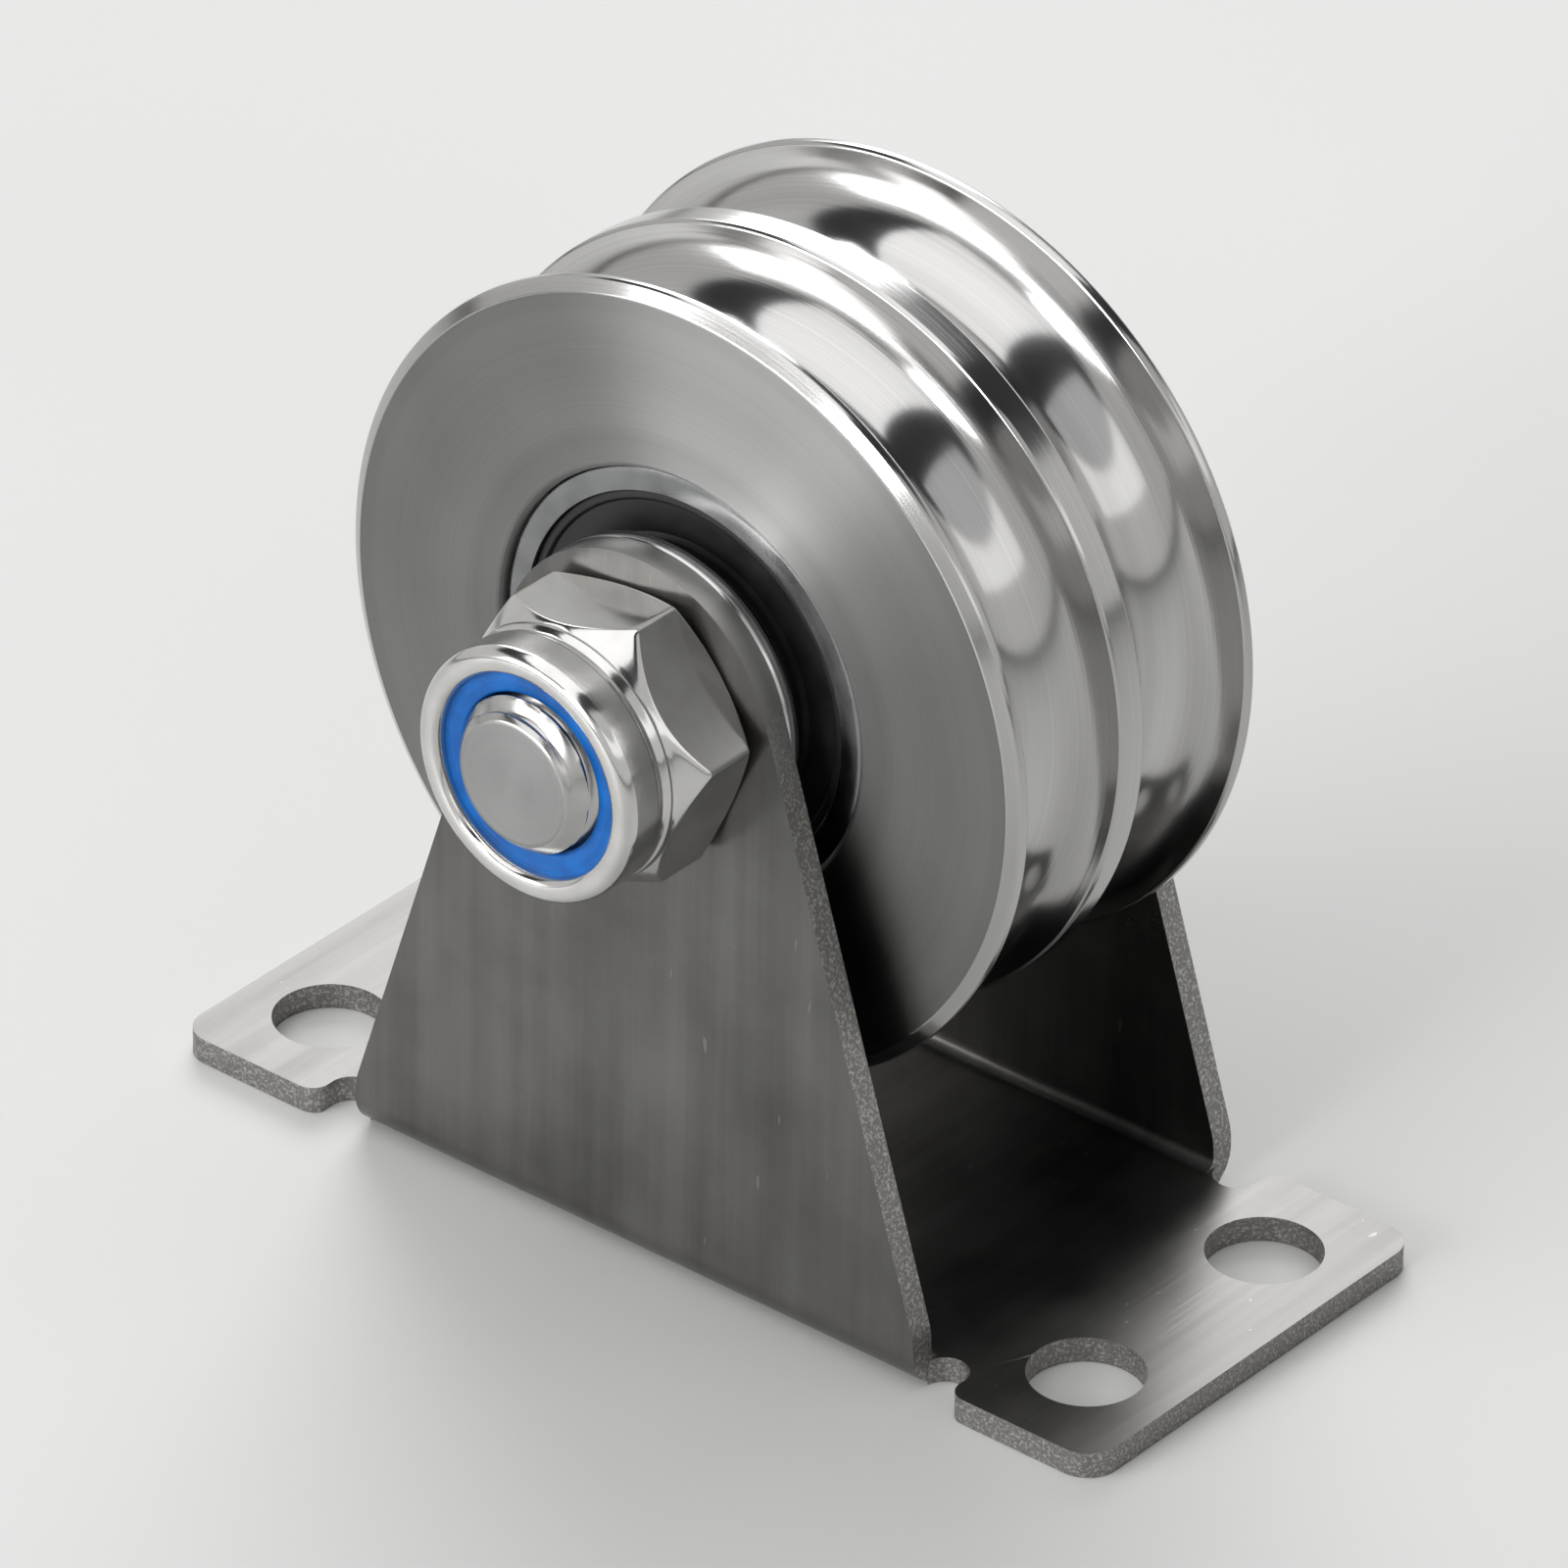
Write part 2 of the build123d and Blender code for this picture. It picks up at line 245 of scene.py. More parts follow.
@dataclass(frozen=True)
class TurnedSteel(Surface):
    """Stainless steel cut on a lathe: fine rings round the axle, which draw light into bright sectors."""

    roughness: tuple[float, float]
    anisotropic: float
    ring_pitch: float
    ring_depth: float

    def build(self) -> bpy.types.Material:
        """Make the material."""
        material, tree, shader = new_material(self.name)
        radius, along = radius_and_y(tree)
        across = add_node(
            tree, "ShaderNodeMath", {"operation": "ADD"}, links={0: radius, 1: along}
        ).outputs["Value"]
        # The real tool marks are about 0.1 mm apart, so they are drawn coarser to show at all.
        rings = add_node(
            tree,
            "ShaderNodeTexNoise",
            {"noise_dimensions": "1D"},
            {"Scale": pattern(self.ring_pitch), "Detail": 3.0, "Roughness": 0.6},
            {"W": across},
        ).outputs["Fac"]
        # Faint bands a few millimetres wide, from where the cut was stopped and taken up again.
        bands = add_node(
            tree,
            "ShaderNodeTexNoise",
            {"noise_dimensions": "1D"},
            {"Scale": pattern(4.5), "Detail": 1.0},
            {"W": across},
        ).outputs["Fac"]
        faint = add_node(
            tree,
            "ShaderNodeMapRange",
            values={"From Min": 0.35, "From Max": 0.65, "To Max": 0.45},
            links={"Value": bands},
        ).outputs["Result"]
        tone = add_node(
            tree, "ShaderNodeMath", {"operation": "MULTIPLY_ADD"}, {1: 0.55}, {0: rings, 2: faint}
        ).outputs["Value"]
        self.tint(tree, shader, tone)
        shader.inputs["Metallic"].default_value = 1.0
        clouds = add_node(
            tree,
            "ShaderNodeTexNoise",
            values={"Scale": pattern(14), "Detail": 3.0},
            links={"Vector": about_axle(tree)},
        ).outputs["Fac"]
        rough = add_node(
            tree,
            "ShaderNodeMapRange",
            values={
                "From Min": 0.35, "From Max": 0.68, "To Min": self.roughness[0], "To Max": self.roughness[1]
            },
            links={"Value": clouds},
        ).outputs["Result"]
        tree.links.new(rough, shader.inputs["Roughness"])
        shader.inputs["Anisotropic"].default_value = self.anisotropic
        tree.links.new(across_the_marks(tree), shader.inputs["Tangent"])
        bump = add_node(
            tree,
            "ShaderNodeBump",
            values={"Strength": 0.35, "Distance": m(self.ring_depth)},
            links={"Height": rings},
        )
        tree.links.new(bump.outputs["Normal"], shader.inputs["Normal"])
        return material


@dataclass(frozen=True)
class BrushedSheet(Surface):
    """Cold-rolled stainless sheet, brushed one way: faint grain, cloudy patches and a few short scratches."""

    roughness: tuple[float, float]

    def build(self) -> bpy.types.Material:
        """Make the material."""
        material, tree, shader = new_material(self.name)
        place = add_node(tree, "ShaderNodeTexCoord").outputs["Object"]
        # The grain runs up one ear, across the base and down the other, so it is fine along X only.
        # Real brush lines are under 0.1 mm wide and are drawn at about 0.35 mm so that they show.
        stretched = add_node(
            tree, "ShaderNodeMapping", values={"Scale": (1.0, 0.03, 0.03)}, links={"Vector": place}
        ).outputs["Vector"]
        grain = add_node(
            tree,
            "ShaderNodeTexNoise",
            values={"Scale": pattern(0.35), "Detail": 4.0, "Roughness": 0.62},
            links={"Vector": stretched},
        ).outputs["Fac"]
        streaks = add_node(
            tree,
            "ShaderNodeTexNoise",
            values={"Scale": pattern(2.6), "Detail": 2.0},
            links={"Vector": stretched},
        ).outputs["Fac"]
        clouds = add_node(
            tree,
            "ShaderNodeTexNoise",
            values={"Scale": pattern(11), "Detail": 5.0, "Roughness": 0.55},
            links={"Vector": place},
        ).outputs["Fac"]
        # A few short scratches from handling, which lie anyhow and shine where they cut the brushed skin.
        slanted = add_node(
            tree,
            "ShaderNodeMapping",
            values={"Rotation": (0.0, 0.9, 0.4), "Scale": (1.0, 0.6, 0.22)},
            links={"Vector": place},
        ).outputs["Vector"]
        scratches = add_node(
            tree,
            "ShaderNodeTexNoise",
            values={"Scale": pattern(0.55), "Detail": 0.0},
            links={"Vector": slanted},
        ).outputs["Fac"]
        streaky = add_node(
            tree,
            "ShaderNodeMapRange",
            values={"From Min": 0.3, "From Max": 0.7, "To Max": 0.4},
            links={"Value": streaks},
        ).outputs["Result"]
        cloudy = add_node(
            tree,
            "ShaderNodeMapRange",
            values={"From Min": 0.35, "From Max": 0.65, "To Min": -0.12, "To Max": 0.3},
            links={"Value": clouds},
        ).outputs["Result"]
        scratched = add_node(
            tree,
            "ShaderNodeMapRange",
            values={"From Min": 0.85, "From Max": 0.89, "To Max": 0.9},
            links={"Value": scratches},
        ).outputs["Result"]
        tone = add_node(
            tree, "ShaderNodeMath", {"operation": "MULTIPLY_ADD"}, {1: 0.35}, {0: grain, 2: streaky}
        ).outputs["Value"]
        for layer in (cloudy, scratched):
            tone = add_node(
                tree, "ShaderNodeMath", {"operation": "ADD"}, links={0: tone, 1: layer}
            ).outputs["Value"]
        self.tint(tree, shader, tone, within=False)
        shader.inputs["Metallic"].default_value = 1.0
        rough = add_node(
            tree,
            "ShaderNodeMapRange",
            values={
                "From Min": 0.3, "From Max": 0.7, "To Min": self.roughness[0], "To Max": self.roughness[1]
            },
            links={"Value": clouds},
        ).outputs["Result"]
        tree.links.new(rough, shader.inputs["Roughness"])
        bump = add_node(
            tree, "ShaderNodeBump", values={"Strength": 0.22, "Distance": m(0.03)}, links={"Height": grain}
        )
        # A slow wave in the sheet, as rolling and folding leave it.
        waves = add_node(
            tree,
            "ShaderNodeTexNoise",
            values={"Scale": pattern(26), "Detail": 0.0},
            links={"Vector": place},
        ).outputs["Fac"]
        bump = add_node(
            tree,
            "ShaderNodeBump",
            values={"Strength": 0.25, "Distance": m(0.6)},
            links={"Height": waves, "Normal": bump.outputs["Normal"]},
        )
        tree.links.new(bump.outputs["Normal"], shader.inputs["Normal"])
        return material


@dataclass(frozen=True)
class CutEdge(Surface):
    """Laser-cut edge of the sheet: fine bright specks, and a painted highlight round the top of the ears,
    where the edge is also smoother.
    """

    def build(self) -> bpy.types.Material:
        """Make the material."""
        material, tree, shader = new_material(self.name)
        place = add_node(tree, "ShaderNodeTexCoord").outputs["Object"]
        # Cut lines stand about 0.25 mm apart along the edge.
        specks = add_node(
            tree,
            "ShaderNodeTexNoise",
            values={"Scale": pattern(0.25), "Detail": 2.0, "Roughness": 0.6},
            links={"Vector": place},
        ).outputs["Fac"]
        bright = add_node(
            tree,
            "ShaderNodeMapRange",
            values={"From Min": 0.48, "From Max": 0.68},
            links={"Value": specks},
        ).outputs["Result"]
        # From just under the axle up, the edge is painted lighter as an even band, which is a painted
        # highlight, and it is smoother there and has no cut lines.
        height = add_node(tree, "ShaderNodeSeparateXYZ", links={"Vector": place}).outputs["Z"]
        fade = {"From Min": m(AXLE_HEIGHT - 3), "From Max": m(AXLE_HEIGHT + 5)}
        painted_highlight_band = add_node(
            tree, "ShaderNodeMapRange", values=fade, links={"Value": height}
        ).outputs["Result"]
        uncut = add_node(
            tree, "ShaderNodeMapRange", values=fade | {"To Min": 1.0, "To Max": 0.0}, links={"Value": height}
        ).outputs["Result"]
        # The band lifts the tone to the light colour, which paints the highlight in.
        tone = add_node(
            tree,
            "ShaderNodeMath",
            {"operation": "MULTIPLY_ADD", "use_clamp": True},
            {1: 0.7},
            {0: bright, 2: painted_highlight_band},
        ).outputs["Value"]
        self.tint(tree, shader, tone)
        shader.inputs["Metallic"].default_value = 1.0
        rough = add_node(
            tree, "ShaderNodeMapRange", values={"To Min": 0.42, "To Max": 0.24}, links={"Value": painted_highlight_band}
        ).outputs["Result"]
        tree.links.new(rough, shader.inputs["Roughness"])
        cuts = add_node(
            tree, "ShaderNodeMath", {"operation": "MULTIPLY"}, links={0: specks, 1: uncut}
        ).outputs["Value"]
        bump = add_node(
            tree, "ShaderNodeBump", values={"Strength": 0.35, "Distance": m(0.05)}, links={"Height": cuts}
        )
        tree.links.new(bump.outputs["Normal"], shader.inputs["Normal"])
        return material


@dataclass(frozen=True)
class BrightSteel(Surface):
    """Cold-formed and tumbled steel: smooth and bright, a little wavy, with faint handling marks."""

    roughness: tuple[float, float]
    wave_size: float
    wave_depth: float

    def build(self) -> bpy.types.Material:
        """Make the material."""
        material, tree, shader = new_material(self.name)
        place = add_node(tree, "ShaderNodeTexCoord").outputs["Object"]
        clouds = add_node(
            tree, "ShaderNodeTexNoise", values={"Scale": pattern(3.0), "Detail": 4.0}, links={"Vector": place}
        ).outputs["Fac"]
        fine = add_node(
            tree, "ShaderNodeTexNoise", values={"Scale": pattern(0.4), "Detail": 2.0}, links={"Vector": place}
        ).outputs["Fac"]
        tone = add_node(
            tree,
            "ShaderNodeMapRange",
            values={"From Min": 0.3, "From Max": 0.62},
            links={"Value": clouds},
        ).outputs["Result"]
        self.tint(tree, shader, tone)
        shader.inputs["Metallic"].default_value = 1.0
        rough = add_node(
            tree,
            "ShaderNodeMapRange",
            values={
                "From Min": 0.35, "From Max": 0.7, "To Min": self.roughness[0], "To Max": self.roughness[1]
            },
            links={"Value": clouds},
        ).outputs["Result"]
        tree.links.new(rough, shader.inputs["Roughness"])
        waves = add_node(
            tree,
            "ShaderNodeTexNoise",
            values={"Scale": pattern(self.wave_size), "Detail": 1.0},
            links={"Vector": place},
        ).outputs["Fac"]
        bump = add_node(
            tree,
            "ShaderNodeBump",
            values={"Strength": 0.3, "Distance": m(self.wave_depth)},
            links={"Height": waves},
        )
        bump = add_node(
            tree,
            "ShaderNodeBump",
            values={"Strength": 0.08, "Distance": m(0.03)},
            links={"Height": fine, "Normal": bump.outputs["Normal"]},
        )
        tree.links.new(bump.outputs["Normal"], shader.inputs["Normal"])
        return material


@dataclass(frozen=True)
class MouldedPolymer(Surface):
    """Moulded nylon or nitrile rubber: an even colour with a soft, slightly uneven gloss."""

    roughness: tuple[float, float]
    grain: float
    gloss: float

    def build(self) -> bpy.types.Material:
        """Make the material."""
        material, tree, shader = new_material(self.name)
        place = add_node(tree, "ShaderNodeTexCoord").outputs["Object"]
        clouds = add_node(
            tree, "ShaderNodeTexNoise", values={"Scale": pattern(2.5), "Detail": 3.0}, links={"Vector": place}
        ).outputs["Fac"]
        fine = add_node(
            tree,
            "ShaderNodeTexNoise",
            values={"Scale": pattern(self.grain), "Detail": 2.0},
            links={"Vector": place},
        ).outputs["Fac"]
        tone = add_node(
            tree,
            "ShaderNodeMapRange",
            values={"From Min": 0.3, "From Max": 0.7},
            links={"Value": clouds},
        ).outputs["Result"]
        self.tint(tree, shader, tone)
        shader.inputs["Specular IOR Level"].default_value = self.gloss
        rough = add_node(
            tree,
            "ShaderNodeMapRange",
            values={
                "From Min": 0.35, "From Max": 0.7, "To Min": self.roughness[0], "To Max": self.roughness[1]
            },
            links={"Value": clouds},
        ).outputs["Result"]
        tree.links.new(rough, shader.inputs["Roughness"])
        bump = add_node(
            tree, "ShaderNodeBump", values={"Strength": 0.25, "Distance": m(0.04)}, links={"Height": fine}
        )
        tree.links.new(bump.outputs["Normal"], shader.inputs["Normal"])
        return material


class Finish(Enum):
    """Every finish on the pulley."""

    WHEEL_FACE = TurnedSteel("turned_stainless_face", "#959594", "#828281", (0.4, 0.48), 0.93, 0.22, 0.008)
    GROOVE = TurnedSteel("polished_stainless_groove", "#cccbca", "#b0afae", (0.13, 0.19), 0.45, 0.3, 0.01)
    SPACER = TurnedSteel("turned_stainless_spacer", "#d8d8d7", "#c2c2c0", (0.14, 0.22), 0.4, 0.25, 0.01)
    BOLT_END = TurnedSteel("faced_stainless_bolt_end", "#a2a3a2", "#969796", (0.4, 0.48), 0.2, 0.4, 0.004)
    SHEET = BrushedSheet("brushed_stainless_sheet", "#7e7d7b", "#5c5b5a", (0.27, 0.38))
    CUT_EDGE = CutEdge("laser_cut_sheet_edge", "#d0cfcc", "#868481")
    NUT = BrightSteel("cold_formed_bright_stainless", "#d8d7d5", "#cccbc9", (0.12, 0.16), 4.0, 0.05)
    BOLT = BrightSteel("rolled_stainless_thread", "#c2c1bf", "#b2b1af", (0.2, 0.25), 2.5, 0.015)
    RING = BrightSteel("ground_bearing_steel", "#8c8d8e", "#7a7b7c", (0.2, 0.3), 6.0, 0.01)
    BALL = BrightSteel("lapped_bearing_ball", "#cfd0d1", "#c4c5c6", (0.04, 0.07), 6.0, 0.005)
    CAGE = BrightSteel("pressed_steel_cage", "#a8a8a6", "#8b8b89", (0.28, 0.4), 3.0, 0.03)
    RUBBER = MouldedPolymer("black_nitrile_rubber", "#1b1b1d", "#101012", (0.42, 0.56), 0.35, 0.4)
    NYLON = MouldedPolymer("moulded_blue_nylon", "#0e68bc", "#095098", (0.34, 0.46), 0.5, 0.3)

    @property
    def material(self) -> bpy.types.Material:
        """The material, made when it is first asked for."""
        return bpy.data.materials.get(self.value.name) or self.value.build()


def activate(piece: bpy.types.Object) -> None:
    """Leave nothing but one piece selected, and make it the active one.

    Args:
        piece: The piece to work on.
    """
    if bpy.context.object and bpy.context.object.mode != "OBJECT":
        bpy.ops.object.mode_set(mode="OBJECT")
    bpy.ops.object.select_all(action="DESELECT")
    piece.select_set(True)
    bpy.context.view_layer.objects.active = piece


def new_primitive(name: str, add: Callable[..., set], **sizes: object) -> bpy.types.Object:
    """Add a primitive on its own and set its place into its mesh.

    Args:
        name: Name of the piece.
        add: The operator that adds the primitive.
        **sizes: What the operator takes.

    Returns:
        The new object, at the origin.
    """
    if bpy.context.object and bpy.context.object.mode != "OBJECT":
        bpy.ops.object.mode_set(mode="OBJECT")
    bpy.ops.object.select_all(action="DESELECT")
    add(**sizes)
    piece = bpy.context.object
    piece.name = name
    piece.data.name = name
    bpy.ops.object.transform_apply(location=True, rotation=True, scale=True)
    return piece


def pick(piece: bpy.types.Object, kind: str, test: Callable) -> int:
    """Select elements of a piece in edit mode by a test, and nothing else.

    Args:
        piece: The piece, which is in edit mode.
        kind: vertices, edges or polygons.
        test: Takes the element and the mesh, and says whether it is selected.

    Returns:
        How many were selected.
    """
    mode = {"vertices": "VERT", "edges": "EDGE", "polygons": "FACE"}[kind]
    bpy.ops.mesh.select_mode(type=mode)
    bpy.ops.mesh.select_all(action="DESELECT")
    bpy.ops.object.mode_set(mode="OBJECT")
    chosen = [element for element in getattr(piece.data, kind) if test(element, piece.data)]
    for element in chosen:
        element.select = True
    bpy.ops.object.mode_set(mode="EDIT")
    return len(chosen)


def edge_ends(edge: bpy.types.MeshEdge, mesh: bpy.types.Mesh) -> tuple[Vector, Vector]:
    """The two ends of an edge, in millimetres."""
    first, second = (mesh.vertices[i].co * 1000 for i in edge.vertices)
    return first, second


def is_upright(edge: bpy.types.MeshEdge, mesh: bpy.types.Mesh) -> bool:
    """Whether one end of an edge is over 1 mm higher than the other."""
    first, second = edge_ends(edge, mesh)
    return abs(first.z - second.z) > 1


def apply_modifier(piece: bpy.types.Object, kind: str, **settings: object) -> None:
    """Add a modifier to a piece, set it up and apply it.

    Args:
        piece: The piece.
        kind: Blender's name of the modifier's type.
        **settings: The modifier's properties.
    """
    activate(piece)
    modifier = piece.modifiers.new(kind.lower(), kind)
    for name, value in settings.items():
        setattr(modifier, name, value)
    bpy.ops.object.modifier_apply(modifier=modifier.name)


def combine(piece: bpy.types.Object, tool: bpy.types.Object, operation: str) -> None:
    """Join, cut or trim a piece with another, and remove that one.

    Args:
        piece: The piece that stays.
        tool: The piece that is used up.
        operation: UNION, DIFFERENCE or INTERSECT.
    """
    apply_modifier(piece, "BOOLEAN", object=tool, operation=operation, solver="EXACT")
    bpy.data.objects.remove(tool, do_unlink=True)


def tidy(piece: bpy.types.Object, smooth_deg: float) -> None:
    """Merge doubles, turn the faces outwards and shade smooth up to an angle.

    Args:
        piece: The piece.
        smooth_deg: Faces that meet at less than this look as one.
    """
    activate(piece)
    bpy.ops.object.mode_set(mode="EDIT")
    bpy.ops.mesh.select_all(action="SELECT")
    bpy.ops.mesh.remove_doubles(threshold=m(0.001))
    bpy.ops.mesh.normals_make_consistent(inside=False)
    bpy.ops.object.mode_set(mode="OBJECT")
    bpy.ops.object.shade_smooth_by_angle(angle=math.radians(smooth_deg))
    apply_modifier(piece, "WEIGHTED_NORMAL", keep_sharp=True)


def break_edges(piece: bpy.types.Object, width: float, segments: int = 2, above_deg: float = 35.0) -> None:
    """Round the sharp edges of a piece.

    Args:
        piece: The piece.
        width: Width of the rounding in millimetres.
        segments: How many faces the rounding has.
        above_deg: Edges that turn more than this are rounded.
    """
    apply_modifier(
        piece,
        "BEVEL",
        width=m(width),
        segments=segments,
        limit_method="ANGLE",
        angle_limit=math.radians(above_deg),
        harden_normals=False,
        use_clamp_overlap=True,
    )


def arc(centre: Point, radius: float, start_deg: float, end_deg: float, steps: int) -> list[Point]:
    """Points of an arc in a profile.

    Args:
        centre: Radius and place along the axle of the arc's middle.
        radius: Radius of the arc.
        start_deg: Angle of its first point, from the direction away from the axle towards +Y.
        end_deg: Angle of its last point.
        steps: Number of spans.

    Returns:
        The points, first and last included.
    """
    angles = [math.radians(start_deg + (end_deg - start_deg) * i / steps) for i in range(steps + 1)]
    return [(centre[0] + radius * math.cos(a), centre[1] + radius * math.sin(a)) for a in angles]


def rounded(corners: list[tuple[float, float, float]], steps: int = 4) -> list[Point]:
    """Closed profile whose corners are rounded.

    Args:
        corners: Radius, place along the axle, and rounding of each corner, in order.
        steps: Number of spans in each rounding.

    Returns:
        The points of the profile.
    """
    points: list[Point] = []
    for i, (x, y, r) in enumerate(corners):
        here = Vector((x, y))
        if r == 0:
            points.append((x, y))
            continue
        before = (Vector(corners[i - 1][:2]) - here).normalized()
        after = (Vector(corners[(i + 1) % len(corners)][:2]) - here).normalized()
        half = before.angle(after) / 2
        centre = here + (before + after).normalized() * (r / math.sin(half))
        start = here + before * (r / math.tan(half)) - centre
        end = here + after * (r / math.tan(half)) - centre
        sweep = start.angle_signed(end)
        for k in range(steps + 1):
            turn = Matrix.Rotation(-sweep * k / steps, 2)
            spot = centre + turn @ start
            points.append((spot.x, spot.y))
    return points


def draw(name: str, places: list[Vector]) -> bpy.types.Object:
    """Draw a line from place to place, and leave its piece in edit mode.

    Args:
        name: Name of the piece.
        places: The places, in metres.

    Returns:
        The piece.
    """
    piece = new_primitive(name, bpy.ops.mesh.primitive_plane_add, size=m(1), location=places[0])
    bpy.ops.object.mode_set(mode="EDIT")
    bpy.ops.mesh.select_mode(type="VERT")
    bpy.ops.mesh.select_all(action="SELECT")
    bpy.ops.mesh.merge(type="CENTER")
    for before, after in zip(places, places[1:]):
        bpy.ops.mesh.extrude_vertices_move(TRANSFORM_OT_translate={"value": after - before})
    return piece


def lathe(name: str, profile: list[Point], steps: int, smooth_deg: float = 30.0) -> bpy.types.Object:
    """Turn a closed profile about the axle.

    Args:
        name: Name of the piece.
        profile: Radius and place along the axle of each corner, in millimetres.
        steps: Number of spans round the axle.
        smooth_deg: Faces that meet at less than this look as one.

    Returns:
        The turned piece.
    """
    axle = m(AXLE_HEIGHT)
    piece = draw(name, [Vector((0, m(along), axle + m(radius))) for radius, along in profile])
    last = len(profile) - 1
    pick(piece, "vertices", lambda vertex, _: vertex.index in (0, last))
    bpy.ops.mesh.edge_face_add()
    bpy.ops.mesh.select_all(action="SELECT")
    bpy.ops.mesh.spin(steps=steps, angle=math.tau, center=(0, 0, axle), axis=(0, 1, 0))
    tidy(piece, smooth_deg)
    return piece


def dress(
    piece: bpy.types.Object, finishes: list[Finish], zone: Callable[[Vector, Vector], int] | None = None
) -> None:
    """Give a piece its finishes.

    Args:
        piece: The piece.
        finishes: The finishes of its material slots.
        zone: Takes the middle of a face in millimetres and its normal, and gives the slot's number.
    """
    piece.data.materials.clear()
    for finish in finishes:
        piece.data.materials.append(finish.material)
    for face in piece.data.polygons:
        face.material_index = zone(face.center * 1000, face.normal) if zone else 0


def fit(piece: bpy.types.Object, body: str, slot: str, *nodes: str) -> None:
    """Hang a finished piece on its body, in place of the nodes that it stands for, and report it.

    Args:
        piece: The piece.
        body: The body that it rides on.
        slot: The material slot of the record. It is not used.
        *nodes: The nodes that it replaces.
    """
    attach(piece, body)
    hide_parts(*nodes)
    faces = len(piece.data.polygons)
    LOG.info("%s: %d faces, rides on %s, replaces %s", piece.name, faces, body, ", ".join(nodes))


def off_axle(spot: Vector) -> float:
    """Distance of a point from the axle, in millimetres."""
    return math.hypot(spot.x, spot.z - AXLE_HEIGHT)


def set_radius(vertex: bpy.types.MeshVertex, radius: float) -> None:
    """Move a vertex straight in or out, to a distance from the axle.

    Args:
        vertex: The vertex.
        radius: The distance, in millimetres.
    """
    scale = radius / off_axle(vertex.co * 1000)
    vertex.co.x *= scale
    vertex.co.z = m(AXLE_HEIGHT) + (vertex.co.z - m(AXLE_HEIGHT)) * scale


def cut_block(piece: bpy.types.Object, middle: Spot, size: Spot) -> None:
    """Cut a block out of a piece.

    Args:
        piece: The piece.
        middle: Where the block's middle is, in millimetres.
        size: The block's size along X, Y and Z, in millimetres.
    """
    tool = new_primitive(
        "block", bpy.ops.mesh.primitive_cube_add, size=1, location=metres(middle), scale=metres(size)
    )
    combine(piece, tool, "DIFFERENCE")


def cut_hole(
    piece: bpy.types.Object, middle: Spot, radius: float, depth: float, corners: int, tilt: float = 0.0
) -> None:
    """Cut a round hole out of a piece.

    Args:
        piece: The piece.
        middle: Where the hole's middle is, in millimetres.
        radius: Radius of the hole, in millimetres.
        depth: Length of the drill, in millimetres.
        corners: How many flats the hole has round it.
        tilt: Turn of the upright drill about X, in radians.
    """
    tool = new_primitive(
        "drill",
        bpy.ops.mesh.primitive_cylinder_add,
        vertices=corners,
        radius=m(radius),
        depth=m(depth),
        location=metres(middle),
        rotation=(tilt, 0, 0),
    )
    combine(piece, tool, "DIFFERENCE")


